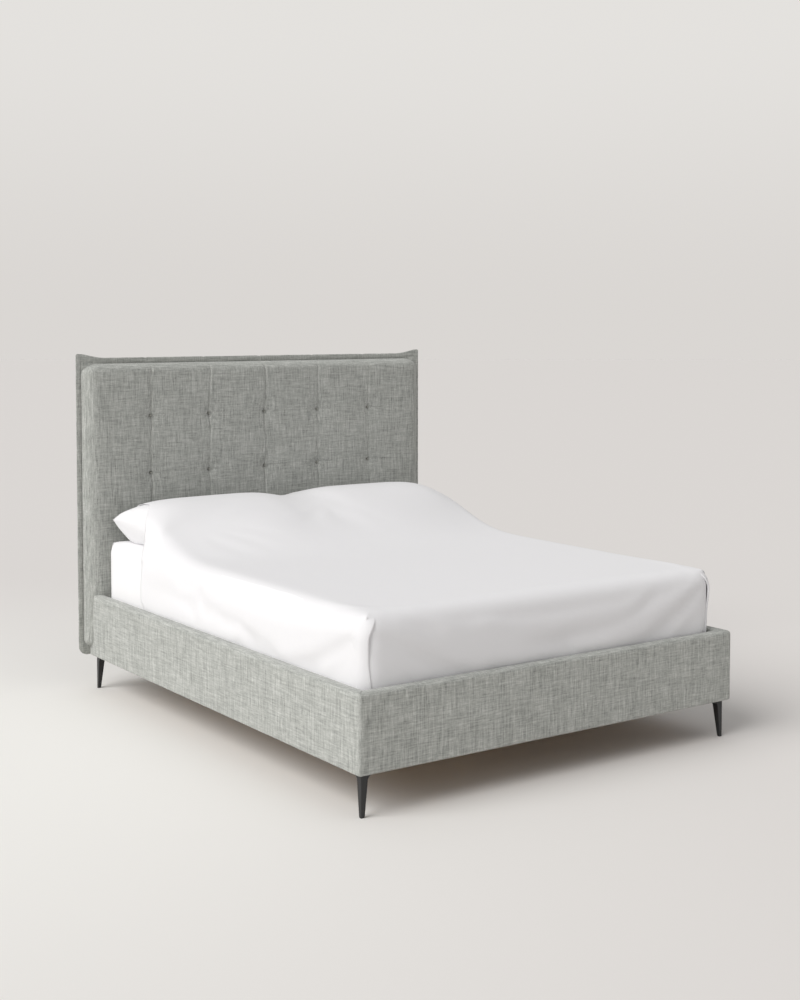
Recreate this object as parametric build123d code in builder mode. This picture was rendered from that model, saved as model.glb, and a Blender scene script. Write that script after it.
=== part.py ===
"""Upholstered bed for a 1600 x 2000 mm mattress, with a tufted headboard, made up with white bedding.

Millimetres, +Z up. +X is to the right seen from the foot, +Y runs from the foot to the headboard.
The origin is on the floor, under the middle of the whole bed.
"""
import os

from build123d import *

os.makedirs("parts", exist_ok=True)

# ---------------------------------------------------------------- driving dimensions
DEPTH = 2147.0            # foot rail face to headboard back
RAIL_W = 1690.0           # across the outside of the two side rails
RAIL_H = 266.0
RAIL_T = 45.0             # rail with its upholstery
LEG_H = 142.0             # floor to the underside of the rails
CORE_T = 25.0             # timber core of a rail
WRAP_T = 10.0             # foam and cloth over the core
WRAP_RETURN = 70.0        # the cloth turns this far down the inner face
RAIL_EDGE_R = 9.0

SLAT_T = 20.0
SLAT_W = 80.0
SLAT_COUNT = 14
LEDGER_W = 40.0
LEDGER_H = 40.0

FLANGE_HALF = 895.0       # headboard flange, from the middle to its edge
FLANGE_TOP = 1421.0
FLANGE_BOTTOM = 145.0
FLANGE_T = 6.0
FLANGE_REACH = 25.0       # how far the flange stands out of the pad
EAR_RISE = 18.0           # the flange's corners rise to small ears
PAD_T = 52.0
PAD_COVER_T = 3.0
PANEL_T = 9.0
FRAME_T = 27.0
BACK_T = 3.0
STILE_W = 70.0
TUFT_PITCH_X = 284.0
TUFT_PITCH_Z = 250.0
TUFT_COLUMNS = 5
TUFT_ROWS = 4
TUFT_MID_Z = 792.0
TIE_SIDE = 3.0

MATTRESS_W = 1584.0       # a 1600 mm mattress, less its making tolerance
MATTRESS_L = 1985.0
MATTRESS_T = 280.0
SHEET_T = 1.0
COVERLET_T = 5.0          # on the sides, where it is tucked in
COVERLET_TOP_T = 20.0
PILLOW_W = 782.0
PILLOW_L = 470.0
PILLOW_T = 176.0

LEG_NECK = 25.0
LEG_FOOT = 13.0
LEG_INSET = 22.0
PLATE_T = 4.0
PLATE_ARM = 120.0
PLATE_W = 50.0
GLIDE_T = 3.0

# ---------------------------------------------------------------- places worked out from them
HALF_W = RAIL_W / 2
FOOT_Y = -DEPTH / 2
RAIL_TOP = LEG_H + RAIL_H
CORE_TOP = RAIL_TOP - WRAP_T
CORE_OUT = HALF_W - WRAP_T          # outer face of a side core
CORE_IN = CORE_OUT - CORE_T
RAIL_IN = HALF_W - RAIL_T
FOOT_CORE_IN = FOOT_Y + WRAP_T + CORE_T
FOOT_RAIL_IN = FOOT_Y + RAIL_T
LEDGER_TOP = RAIL_TOP - WRAP_RETURN
DECK_Z = LEDGER_TOP + SLAT_T        # the mattress lies here

BACK_Y = -FOOT_Y
FRAME_BACK = BACK_Y - BACK_T
PANEL_BACK = FRAME_BACK - FRAME_T
PANEL_FRONT = PANEL_BACK - PANEL_T
PAD_HALF = FLANGE_HALF - FLANGE_REACH + 3
FRAME_HALF = PAD_HALF - 6
PAD_TOP = FLANGE_TOP - FLANGE_REACH
PAD_BOTTOM = FLANGE_BOTTOM + FLANGE_REACH
FRAME_TOP = PAD_TOP - 3
FRAME_BOTTOM = PAD_BOTTOM

MATTRESS_FOOT = FOOT_RAIL_IN + 9
MATTRESS_HEAD = MATTRESS_FOOT + MATTRESS_L
MATTRESS_TOP = DECK_Z + MATTRESS_T
PILLOW_MID_Y = MATTRESS_HEAD - 9 - PILLOW_L / 2

BLOCK = 60.0
BRACKET_LEG = 60.0
BRACKET_T = 4.0
BRACKET_Z = (205.0, 270.0)
SCREW_R = 3.0
HOLE_GAP = 0.05
SIDES = (("left", -1), ("right", 1))


def save(piece, name):
    """Label a finished piece and write it as its own STEP file."""
    piece.part.label = name
    export_step(piece.part, f"parts/{name}.step")


def facing_foot(y):
    """The upright plane at y that looks at the foot of the bed: local x is X, local y is Z."""
    return Plane.XZ.offset(-y)


def board(x_range, y_range, z_range):
    """A square-edged board between two opposite corners."""
    with BuildPart() as piece:
        with BuildSketch(Plane.XY.offset(z_range[0])):
            with Locations((sum(x_range) / 2, sum(y_range) / 2)):
                Rectangle(x_range[1] - x_range[0], y_range[1] - y_range[0])
        extrude(amount=z_range[1] - z_range[0])
    return piece


def span(sign, near, far):
    """The X range from near to far on one side of the bed, lowest first."""
    return tuple(sorted((sign * near, sign * far)))


# ---------------------------------------------------------------- fastener places
BRACKET_SCREW_Z = (222.0, 253.0)
BRACKET_SCREW_OFF = 34.0            # from the inner corner of the bracket
BRACKET_SCREW_L = 22.0
HEAD_BOLT_R = 4.0
HEAD_BOLT_L = 36.0
HEAD_BOLT_X = CORE_IN - 34.0
HEAD_SCREW_Y = PANEL_FRONT - 34.0
LEDGER_SCREW_FIRST = 170.0
LEDGER_SCREW_PITCH = 350.0
LEDGER_SCREW_YS = [FOOT_Y + LEDGER_SCREW_FIRST + i * LEDGER_SCREW_PITCH for i in range(6)]
LEDGER_SCREW_Z = LEDGER_TOP - LEDGER_H / 2
LEDGER_SCREW_L = 56.0
LEG_SCREW_R = 2.5
LEG_SCREW_L = 34.0
LEG_SCREW_SPOTS = ((60.0, 18.0), (60.0, 40.0), (18.0, 60.0), (40.0, 60.0))

LEG_X = HALF_W - LEG_INSET
LEGS = [
    (f"leg_{end}_{side}", sign * LEG_X, corner_y, -sign, inward_y)
    for end, corner_y, inward_y in (
        ("foot", FOOT_Y + LEG_INSET, 1),
        ("head", PANEL_FRONT - LEG_INSET + 2, -1),
    )
    for side, sign in SIDES
]
LEG_SCREW_XYS = [
    (corner_x + inward_x * dx, corner_y + inward_y * dy)
    for _, corner_x, corner_y, inward_x, inward_y in LEGS
    for dx, dy in LEG_SCREW_SPOTS
]


# ---------------------------------------------------------------- side rails
for side, sign in SIDES:
    blank = board(span(sign, CORE_IN, CORE_OUT), (FOOT_CORE_IN, PANEL_FRONT), (LEG_H, CORE_TOP))
    with BuildPart() as side_rail_core:
        add(blank.part)
        for ys, zs, radius, depth in (
            ([FOOT_CORE_IN + BRACKET_SCREW_OFF], BRACKET_SCREW_Z, SCREW_R, BRACKET_SCREW_L - BRACKET_T),
            ([HEAD_SCREW_Y], BRACKET_SCREW_Z, SCREW_R, BRACKET_SCREW_L - BRACKET_T),
            (LEDGER_SCREW_YS, [LEDGER_SCREW_Z], SCREW_R, LEDGER_SCREW_L - LEDGER_W),
        ):
            with BuildSketch(Plane.YZ.offset(sign * CORE_IN)):
                with Locations([(y, z) for y in ys for z in zs]):
                    Circle(radius + HOLE_GAP)
            extrude(amount=sign * depth, mode=Mode.SUBTRACT)
    save(side_rail_core, f"side_rail_core_{side}")

    # a padded wrap: full outer face, over the top and a little way down the inside
    with BuildPart() as side_rail_cover:
        with BuildSketch(facing_foot(PANEL_FRONT)):
            with BuildLine():
                Polyline(
                    (sign * HALF_W, LEG_H),
                    (sign * HALF_W, RAIL_TOP),
                    (sign * RAIL_IN, RAIL_TOP),
                    (sign * RAIL_IN, LEDGER_TOP),
                    (sign * CORE_IN, LEDGER_TOP),
                    (sign * CORE_IN, CORE_TOP),
                    (sign * CORE_OUT, CORE_TOP),
                    (sign * CORE_OUT, LEG_H),
                    close=True,
                )
            face = make_face()
            fillet(face.vertices().group_by(Axis.Y)[-1], RAIL_EDGE_R)
        extrude(amount=PANEL_FRONT - FOOT_Y)
        with BuildSketch(Plane.XY.offset(LEG_H)):
            with BuildLine():
                Polyline(
                    (sign * HALF_W, FOOT_Y),
                    (sign * RAIL_IN, FOOT_Y),
                    (sign * RAIL_IN, FOOT_RAIL_IN),
                    close=True,
                )
            make_face()
        extrude(amount=RAIL_H, mode=Mode.SUBTRACT)
    save(side_rail_cover, f"side_rail_cover_{side}")

    blank = board(
        span(sign, CORE_IN - LEDGER_W, CORE_IN),
        (FOOT_CORE_IN + 5, PANEL_FRONT - 5),
        (LEDGER_TOP - LEDGER_H, LEDGER_TOP),
    )
    with BuildPart() as slat_ledger:
        add(blank.part)
        with BuildSketch(Plane.YZ.offset(sign * CORE_IN)):
            with Locations([(y, LEDGER_SCREW_Z) for y in LEDGER_SCREW_YS]):
                Circle(SCREW_R + HOLE_GAP)
        extrude(amount=-sign * LEDGER_W, mode=Mode.SUBTRACT)
    save(slat_ledger, f"slat_ledger_{side}")

# ---------------------------------------------------------------- foot rail
blank = board((-CORE_OUT, CORE_OUT), (FOOT_Y + WRAP_T, FOOT_CORE_IN), (LEG_H, CORE_TOP))
with BuildPart() as foot_rail_core:
    add(blank.part)
    with BuildSketch(facing_foot(FOOT_CORE_IN)):
        with Locations([
            (sign * (CORE_IN - BRACKET_SCREW_OFF), z) for _, sign in SIDES for z in BRACKET_SCREW_Z
        ]):
            Circle(SCREW_R + HOLE_GAP)
    extrude(amount=BRACKET_SCREW_L - BRACKET_T, mode=Mode.SUBTRACT)
save(foot_rail_core, "foot_rail_core")

with BuildPart() as foot_rail_cover:
    with BuildSketch(Plane.YZ.offset(-HALF_W)):
        with BuildLine():
            Polyline(
                (FOOT_Y, LEG_H),
                (FOOT_Y, RAIL_TOP),
                (FOOT_RAIL_IN, RAIL_TOP),
                (FOOT_RAIL_IN, LEDGER_TOP),
                (FOOT_CORE_IN, LEDGER_TOP),
                (FOOT_CORE_IN, CORE_TOP),
                (FOOT_Y + WRAP_T, CORE_TOP),
                (FOOT_Y + WRAP_T, LEG_H),
                close=True,
            )
        face = make_face()
        fillet(face.vertices().group_by(Axis.Y)[-1], RAIL_EDGE_R)
    extrude(amount=RAIL_W)
    with BuildSketch(Plane.XY.offset(LEG_H)):
        for _, sign in SIDES:
            with BuildLine():
                Polyline(
                    (sign * HALF_W, FOOT_Y),
                    (sign * HALF_W, FOOT_RAIL_IN),
                    (sign * RAIL_IN, FOOT_RAIL_IN),
                    close=True,
                )
            make_face()
    extrude(amount=RAIL_H, mode=Mode.SUBTRACT)
save(foot_rail_cover, "foot_rail_cover")

# ---------------------------------------------------------------- corner blocks and brackets
with BuildPart() as leg_blocks:
    with BuildSketch(Plane.XY.offset(LEG_H)):
        for _, sign in SIDES:
            with Locations((sign * (CORE_IN - BLOCK / 2), FOOT_CORE_IN + BLOCK / 2)):
                Rectangle(BLOCK, BLOCK)
            with Locations((sign * (CORE_IN - BLOCK / 2), PANEL_FRONT - 0.75 * BLOCK)):
                Rectangle(BLOCK, 1.5 * BLOCK)
    extrude(amount=BRACKET_Z[0] - 5 - LEG_H)
    with BuildSketch(Plane.XY.offset(LEG_H)):
        with Locations(LEG_SCREW_XYS):
            Circle(LEG_SCREW_R + HOLE_GAP)
    extrude(amount=LEG_SCREW_L - PLATE_T, mode=Mode.SUBTRACT)
save(leg_blocks, "leg_blocks")

for name, corner_y, inward in (
    ("foot_corner_brackets", FOOT_CORE_IN, 1),
    ("headboard_brackets", PANEL_FRONT, -1),
):
    screw_r = SCREW_R if inward > 0 else HEAD_BOLT_R
    with BuildPart() as brackets:
        with BuildSketch(Plane.XY.offset(BRACKET_Z[0])):
            for _, sign in SIDES:
                with Locations((sign * (CORE_IN - BRACKET_T / 2), corner_y + inward * BRACKET_LEG / 2)):
                    Rectangle(BRACKET_T, BRACKET_LEG)
                with Locations((sign * (CORE_IN - BRACKET_LEG / 2), corner_y + inward * BRACKET_T / 2)):
                    Rectangle(BRACKET_LEG, BRACKET_T)
        extrude(amount=BRACKET_Z[1] - BRACKET_Z[0])
        for _, sign in SIDES:
            with BuildSketch(Plane.YZ.offset(sign * CORE_IN)):
                with Locations([(corner_y + inward * BRACKET_SCREW_OFF, z) for z in BRACKET_SCREW_Z]):
                    Circle(SCREW_R + HOLE_GAP)
            extrude(amount=-sign * BRACKET_T, mode=Mode.SUBTRACT)
        with BuildSketch(facing_foot(corner_y)):
            with Locations([
                (sign * (CORE_IN - BRACKET_SCREW_OFF), z) for _, sign in SIDES for z in BRACKET_SCREW_Z
            ]):
                Circle(screw_r + HOLE_GAP)
        extrude(amount=-inward * BRACKET_T, mode=Mode.SUBTRACT)
    save(brackets, name)

with BuildPart() as foot_corner_screws:
    for _, sign in SIDES:
        for radius, start, length in (
            (SCREW_R, CORE_IN - BRACKET_T, BRACKET_SCREW_L),
            (2 * SCREW_R, CORE_IN - BRACKET_T, -SCREW_R),
        ):
            with BuildSketch(Plane.YZ.offset(sign * start)):
                with Locations([(FOOT_CORE_IN + BRACKET_SCREW_OFF, z) for z in BRACKET_SCREW_Z]):
                    Circle(radius)
            extrude(amount=sign * length)
    for radius, length in ((SCREW_R, BRACKET_SCREW_L), (2 * SCREW_R, -SCREW_R)):
        with BuildSketch(facing_foot(FOOT_CORE_IN + BRACKET_T)):
            with Locations([
                (sign * (CORE_IN - BRACKET_SCREW_OFF), z) for _, sign in SIDES for z in BRACKET_SCREW_Z
            ]):
                Circle(radius)
        extrude(amount=length)
save(foot_corner_screws, "foot_corner_screws")

with BuildPart() as headboard_bolts:
    for _, sign in SIDES:
        for radius, length in ((SCREW_R, BRACKET_SCREW_L), (2 * SCREW_R, -SCREW_R)):
            with BuildSketch(Plane.YZ.offset(sign * (CORE_IN - BRACKET_T))):
                with Locations([(HEAD_SCREW_Y, z) for z in BRACKET_SCREW_Z]):
                    Circle(radius)
            extrude(amount=sign * length)
    for radius, length in ((HEAD_BOLT_R, -HEAD_BOLT_L), (7.0, 5.0)):
        with BuildSketch(facing_foot(PANEL_FRONT - BRACKET_T)):
            with Locations([(sign * HEAD_BOLT_X, z) for _, sign in SIDES for z in BRACKET_SCREW_Z]):
                Circle(radius)
        extrude(amount=length)
save(headboard_bolts, "headboard_bolts")

with BuildPart() as ledger_screws:
    for _, sign in SIDES:
        for radius, length in ((SCREW_R, LEDGER_SCREW_L), (2 * SCREW_R, -SCREW_R)):
            with BuildSketch(Plane.YZ.offset(sign * (CORE_IN - LEDGER_W))):
                with Locations([(y, LEDGER_SCREW_Z) for y in LEDGER_SCREW_YS]):
                    Circle(radius)
            extrude(amount=sign * length)
save(ledger_screws, "ledger_screws")

# ---------------------------------------------------------------- slat deck
CENTRE_RAIL_W = 50.0
CENTRE_RAIL_H = 60.0
SADDLE_T = 4.0
SADDLE_L = 40.0
SADDLE_EAR = 20.0             # the back plate stands this far out on each side
SADDLE_CUP_H = 30.0
CENTRE_BOTTOM = LEDGER_TOP - CENTRE_RAIL_H

centre_rail = board(
    (-CENTRE_RAIL_W / 2, CENTRE_RAIL_W / 2),
    (FOOT_CORE_IN + SADDLE_T, PANEL_FRONT - SADDLE_T),
    (CENTRE_BOTTOM, LEDGER_TOP),
)
save(centre_rail, "centre_rail")

with BuildPart() as centre_rail_saddles:
    for wall_y, into_bed in ((FOOT_CORE_IN, 1), (PANEL_FRONT, -1)):
        with BuildSketch(facing_foot(wall_y)):
            with Locations((0, CENTRE_BOTTOM + CENTRE_RAIL_H / 2 - SADDLE_T)):
                Rectangle(CENTRE_RAIL_W + 2 * SADDLE_EAR, CENTRE_RAIL_H)
        extrude(amount=-into_bed * SADDLE_T)
        with BuildSketch(facing_foot(wall_y + into_bed * SADDLE_T)):
            with Locations((0, CENTRE_BOTTOM + (SADDLE_CUP_H - SADDLE_T) / 2)):
                Rectangle(CENTRE_RAIL_W + 2 * SADDLE_T, SADDLE_CUP_H + SADDLE_T)
            with Locations((0, CENTRE_BOTTOM + SADDLE_CUP_H / 2)):
                Rectangle(CENTRE_RAIL_W, SADDLE_CUP_H, mode=Mode.SUBTRACT)
        extrude(amount=-into_bed * SADDLE_L)
save(centre_rail_saddles, "centre_rail_saddles")

SLAT_HALF = RAIL_IN - 2
SLAT_FIRST_Y = FOOT_Y + 95
SLAT_LAST_Y = FOOT_Y + 2000
SLAT_PITCH = (SLAT_LAST_Y - SLAT_FIRST_Y) / (SLAT_COUNT - 1)
for number in range(SLAT_COUNT):
    mid_y = SLAT_FIRST_Y + number * SLAT_PITCH
    blank = board(
        (-SLAT_HALF, SLAT_HALF), (mid_y - SLAT_W / 2, mid_y + SLAT_W / 2), (LEDGER_TOP, DECK_Z)
    )
    with BuildPart() as slat:
        add(blank.part)
        fillet(slat.edges().filter_by(Axis.X).group_by(Axis.Z)[-1], 3)
    save(slat, f"slat_{number + 1:02d}")

TAPE_X = 480.0
TAPE_W = 30.0
TAPE_T = 1.0
TAPE_MID_Y = (SLAT_FIRST_Y + SLAT_LAST_Y) / 2
with BuildPart() as slat_webbing:
    with BuildSketch(Plane.XY.offset(LEDGER_TOP - TAPE_T)):
        with Locations((-TAPE_X, TAPE_MID_Y), (TAPE_X, TAPE_MID_Y)):
            Rectangle(TAPE_W, SLAT_LAST_Y - SLAT_FIRST_Y + SLAT_W)
    extrude(amount=TAPE_T)
save(slat_webbing, "slat_webbing")

# ---------------------------------------------------------------- centre legs with levelling feet
TUBE_R = 20.0
TUBE_BORE_R = 17.0
PLUG_TOP = 58.0
PLUG_BOTTOM = 28.0
STUD_R = 5.0
FOOT_PAD_R = 22.0
FOOT_PAD_T = 8.0
STUD_TOP = 72.0
CENTRE_LEG_YS = {"foot": FOOT_Y + 610.0, "head": FOOT_Y + 1440.0}

for end, leg_y in CENTRE_LEG_YS.items():
    axis_plane = Plane((0, leg_y, 0), x_dir=(1, 0, 0), z_dir=(0, -1, 0))
    with BuildPart() as centre_leg:
        with BuildSketch(axis_plane):
            with BuildLine():
                Polyline(
                    (STUD_R + HOLE_GAP, PLUG_BOTTOM),
                    (TUBE_R, PLUG_BOTTOM),
                    (TUBE_R, CENTRE_BOTTOM - PLATE_T),
                    (TUBE_BORE_R, CENTRE_BOTTOM - PLATE_T),
                    (TUBE_BORE_R, PLUG_TOP),
                    (STUD_R + HOLE_GAP, PLUG_TOP),
                    close=True,
                )
            make_face()
        revolve(axis=Axis((0, leg_y, 0), (0, 0, 1)))
        with BuildSketch(Plane.XY.offset(CENTRE_BOTTOM - PLATE_T)):
            with Locations((0, leg_y)):
                RectangleRounded(CENTRE_RAIL_W, 90, 8)
        extrude(amount=PLATE_T)
    save(centre_leg, f"centre_leg_{end}")

    with BuildPart() as levelling_foot:
        with BuildSketch(axis_plane):
            with BuildLine():
                Polyline(
                    (0, 0),
                    (FOOT_PAD_R - 2, 0),
                    (FOOT_PAD_R, 2),
                    (FOOT_PAD_R - 3, FOOT_PAD_T),
                    (STUD_R, FOOT_PAD_T),
                    (STUD_R, STUD_TOP),
                    (0, STUD_TOP),
                    close=True,
                )
            make_face()
        revolve(axis=Axis((0, leg_y, 0), (0, 0, 1)))
    save(levelling_foot, f"levelling_foot_{end}")

# ---------------------------------------------------------------- corner legs
LEG_EDGE_R = 2.5
FLARE_R = 20.0
POST_TOP = LEG_H - PLATE_T


def post_outline(corner, inward):
    """Side view of a leg post: its straight edges, and the arc from its inner edge to the plate."""
    neck = (corner + inward * LEG_NECK, POST_TOP - FLARE_R)
    flare_end = (corner + inward * (LEG_NECK + FLARE_R), POST_TOP)
    flare_mid = (corner + inward * (LEG_NECK + FLARE_R * 0.31), POST_TOP - FLARE_R * 0.31)
    foot = (corner + inward * LEG_FOOT, GLIDE_T)
    return (neck, foot, (corner, GLIDE_T), (corner, POST_TOP), flare_end), (neck, flare_mid, flare_end)


for name, corner_x, corner_y, inward_x, inward_y in LEGS:
    with BuildPart() as leg:
        with BuildSketch(facing_foot(corner_y)):
            straight, arc = post_outline(corner_x, inward_x)
            with BuildLine():
                Polyline(*straight)
                ThreePointArc(*arc)
            make_face()
        extrude(amount=-inward_y * (LEG_NECK + FLARE_R))
        with BuildSketch(Plane.YZ.offset(corner_x)):
            straight, arc = post_outline(corner_y, inward_y)
            with BuildLine():
                Polyline(*straight)
                ThreePointArc(*arc)
            make_face()
        extrude(amount=inward_x * (LEG_NECK + FLARE_R), mode=Mode.INTERSECT)
        fillet(leg.edges().filter_by(Axis.Z), LEG_EDGE_R)
        with BuildSketch(Plane.XY.offset(POST_TOP)):
            with Locations((corner_x + inward_x * PLATE_ARM / 2, corner_y + inward_y * PLATE_W / 2)):
                RectangleRounded(PLATE_ARM, PLATE_W, LEG_EDGE_R)
            with Locations((corner_x + inward_x * PLATE_W / 2, corner_y + inward_y * PLATE_ARM / 2)):
                RectangleRounded(PLATE_W, PLATE_ARM, LEG_EDGE_R)
            with Locations([
                (corner_x + inward_x * dx, corner_y + inward_y * dy) for dx, dy in LEG_SCREW_SPOTS
            ]):
                Circle(LEG_SCREW_R + HOLE_GAP, mode=Mode.SUBTRACT)
        extrude(amount=PLATE_T)
    save(leg, name)

with BuildPart() as leg_screws:
    for radius, length in ((LEG_SCREW_R, LEG_SCREW_L), (2 * LEG_SCREW_R, -LEG_SCREW_R)):
        with BuildSketch(Plane.XY.offset(POST_TOP)):
            with Locations(LEG_SCREW_XYS):
                Circle(radius)
        extrude(amount=length)
save(leg_screws, "leg_screws")

with BuildPart() as leg_glides:
    with BuildSketch():
        for _, corner_x, corner_y, inward_x, inward_y in LEGS:
            with Locations((corner_x + inward_x * LEG_FOOT / 2, corner_y + inward_y * LEG_FOOT / 2)):
                RectangleRounded(LEG_FOOT, LEG_FOOT, LEG_EDGE_R)
    extrude(amount=GLIDE_T)
save(leg_glides, "leg_glides")

# ---------------------------------------------------------------- headboard
FRAME_Y = (PANEL_BACK, FRAME_BACK)
TOP_BAR_H = 100.0
MIDDLE_BAR_H = 70.0
BOTTOM_BAR_H = 140.0
STILE_IN = FRAME_HALF - STILE_W

for side, sign in SIDES:
    stile = board(span(sign, STILE_IN, FRAME_HALF), FRAME_Y, (FRAME_BOTTOM, FRAME_TOP))
    save(stile, f"headboard_stile_{side}")

for name, low, height in (
    ("headboard_top_bar", FRAME_TOP - TOP_BAR_H, TOP_BAR_H),
    ("headboard_middle_bar", TUFT_MID_Z - MIDDLE_BAR_H / 2, MIDDLE_BAR_H),
    ("headboard_bottom_bar", FRAME_BOTTOM, BOTTOM_BAR_H),
):
    blank = board((-STILE_IN, STILE_IN), FRAME_Y, (low, low + height))
    with BuildPart() as bar:
        add(blank.part)
        if name == "headboard_bottom_bar":
            with BuildSketch(facing_foot(PANEL_BACK)):
                with Locations([(sign * HEAD_BOLT_X, z) for _, sign in SIDES for z in BRACKET_SCREW_Z]):
                    Circle(HEAD_BOLT_R + HOLE_GAP)
            extrude(amount=BRACKET_T + PANEL_T - HEAD_BOLT_L, mode=Mode.SUBTRACT)
    save(bar, name)

TUFT_XS = [(column - (TUFT_COLUMNS - 1) / 2) * TUFT_PITCH_X for column in range(TUFT_COLUMNS)]
TUFT_ZS = [TUFT_MID_Z + (row - (TUFT_ROWS - 1) / 2) * TUFT_PITCH_Z for row in range(TUFT_ROWS)]
TUFTS = [(x, z) for z in TUFT_ZS for x in TUFT_XS]

blank = board((-FRAME_HALF, FRAME_HALF), (PANEL_FRONT, PANEL_BACK), (FRAME_BOTTOM, FRAME_TOP))
with BuildPart() as headboard_panel:
    add(blank.part)
    with BuildSketch(facing_foot(PANEL_BACK)):
        with Locations(TUFTS):
            Rectangle(TIE_SIDE, TIE_SIDE)
        with Locations([(sign * HEAD_BOLT_X, z) for _, sign in SIDES for z in BRACKET_SCREW_Z]):
            Circle(HEAD_BOLT_R + HOLE_GAP)
    extrude(amount=PANEL_T, mode=Mode.SUBTRACT)
save(headboard_panel, "headboard_panel")

PAD_CORNER_R = 18.0
PAD_ROLL_R = 25.0
NOTCH_TOP = RAIL_TOP + 3
NOTCH_IN = CORE_IN - BLOCK - 5
SADDLE_NOTCH_TOP = LEDGER_TOP + 5


def pad_block(skin):
    """The pad's outer form, or the foam inside it, which is smaller by the skin all round."""
    with BuildPart() as block:
        with BuildSketch(facing_foot(PANEL_FRONT)):
            with Locations((0, (PAD_TOP + PAD_BOTTOM) / 2)):
                RectangleRounded(
                    2 * (PAD_HALF - skin), PAD_TOP - PAD_BOTTOM - 2 * skin, PAD_CORNER_R - skin
                )
        extrude(amount=PAD_T - skin)
        fillet(block.faces().sort_by(Axis.Y)[0].edges(), PAD_ROLL_R - skin - 10)
        with BuildSketch(facing_foot(PANEL_FRONT)):
            for _, sign in SIDES:
                with Locations((sign * (NOTCH_IN + HALF_W + 3) / 2, (NOTCH_TOP + PAD_BOTTOM) / 2)):
                    Rectangle(HALF_W + 3 - NOTCH_IN + 2 * skin, NOTCH_TOP - PAD_BOTTOM + 2 * skin)
            with Locations((0, (SADDLE_NOTCH_TOP + PAD_BOTTOM) / 2)):
                Rectangle(CENTRE_RAIL_W + 50 + 2 * skin, SADDLE_NOTCH_TOP - PAD_BOTTOM + 2 * skin)
            with Locations(TUFTS):
                Rectangle(TIE_SIDE, TIE_SIDE)
        extrude(amount=PAD_T, mode=Mode.SUBTRACT)
    return block


headboard_foam = pad_block(PAD_COVER_T)
save(headboard_foam, "headboard_foam")

blank = pad_block(0)
with BuildPart() as headboard_cover:
    add(blank.part)
    add(headboard_foam.part, mode=Mode.SUBTRACT)
save(headboard_cover, "headboard_cover")

EAR_DIP = 5.0
with BuildPart() as headboard_flange:
    with BuildSketch(facing_foot(PANEL_FRONT + FLANGE_T)):
        with BuildLine() as half_outline:
            Line((0, FLANGE_BOTTOM), (FLANGE_HALF - 40, FLANGE_BOTTOM))
            RadiusArc((FLANGE_HALF - 40, FLANGE_BOTTOM), (FLANGE_HALF, FLANGE_BOTTOM + 40), -40)
            Line((FLANGE_HALF, FLANGE_BOTTOM + 40), (FLANGE_HALF, FLANGE_TOP + EAR_RISE - 8))
            RadiusArc(
                (FLANGE_HALF, FLANGE_TOP + EAR_RISE - 8), (FLANGE_HALF - 8, FLANGE_TOP + EAR_RISE), -8
            )
            Spline(
                (FLANGE_HALF - 8, FLANGE_TOP + EAR_RISE),
                (FLANGE_HALF - 62, FLANGE_TOP - EAR_DIP),
                (FLANGE_HALF - 150, FLANGE_TOP),
                tangents=((-1, 0), (-1, 0)),
            )
            Line((FLANGE_HALF - 150, FLANGE_TOP), (0, FLANGE_TOP))
            mirror(about=Plane.YZ)
        make_face()
        with Locations((0, (FRAME_TOP + FRAME_BOTTOM) / 2)):
            Rectangle(2 * FRAME_HALF, FRAME_TOP - FRAME_BOTTOM, mode=Mode.SUBTRACT)
    extrude(amount=FLANGE_T)
save(headboard_flange, "headboard_flange")

BORDER_T = 4.0
with BuildPart() as headboard_border:
    with BuildSketch(facing_foot(FRAME_BACK)):
        with Locations((0, (FRAME_TOP + FRAME_BOTTOM) / 2)):
            Rectangle(2 * (FRAME_HALF + BORDER_T), FRAME_TOP - FRAME_BOTTOM + 2 * BORDER_T)
            Rectangle(2 * FRAME_HALF, FRAME_TOP - FRAME_BOTTOM, mode=Mode.SUBTRACT)
    extrude(amount=FRAME_BACK - PANEL_FRONT - FLANGE_T)
save(headboard_border, "headboard_border")

headboard_back_cloth = board(
    (-FRAME_HALF - BORDER_T, FRAME_HALF + BORDER_T),
    (FRAME_BACK, BACK_Y),
    (FRAME_BOTTOM - BORDER_T, FRAME_TOP + BORDER_T),
)
save(headboard_back_cloth, "headboard_back_cloth")

TUFT_SINK = 12.0
WASHER_R = 12.0
WASHER_T = 2.0
with BuildPart() as tuft_ties:
    with BuildSketch(facing_foot(PANEL_BACK + WASHER_T + 2)):
        with Locations(TUFTS):
            Rectangle(TIE_SIDE, TIE_SIDE)
    extrude(amount=PANEL_T + PAD_T + WASHER_T + 2 - TUFT_SINK)
save(tuft_ties, "tuft_ties")

with BuildPart() as tuft_washers:
    with BuildSketch(facing_foot(PANEL_BACK + WASHER_T)):
        with Locations(TUFTS):
            Circle(WASHER_R)
            Rectangle(TIE_SIDE, TIE_SIDE, mode=Mode.SUBTRACT)
    extrude(amount=WASHER_T)
save(tuft_washers, "tuft_washers")

# ---------------------------------------------------------------- mattress and bedding
CORNER_R = 40.0
EDGE_R = 25.0
MATTRESS_MID_Y = (MATTRESS_FOOT + MATTRESS_HEAD) / 2


def mattress_block(grow):
    """The mattress, or the outside of a cloth that is drawn over it, bigger by grow."""
    with BuildPart() as block:
        with BuildSketch(Plane.XY.offset(DECK_Z)):
            with Locations((0, MATTRESS_MID_Y)):
                RectangleRounded(MATTRESS_W + 2 * grow, MATTRESS_L + 2 * grow, CORNER_R + grow)
        extrude(amount=MATTRESS_T + grow)
        fillet(block.faces().sort_by(Axis.Z)[-1].edges(), EDGE_R + grow)
    return block


mattress = mattress_block(0)
save(mattress, "mattress")

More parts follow.
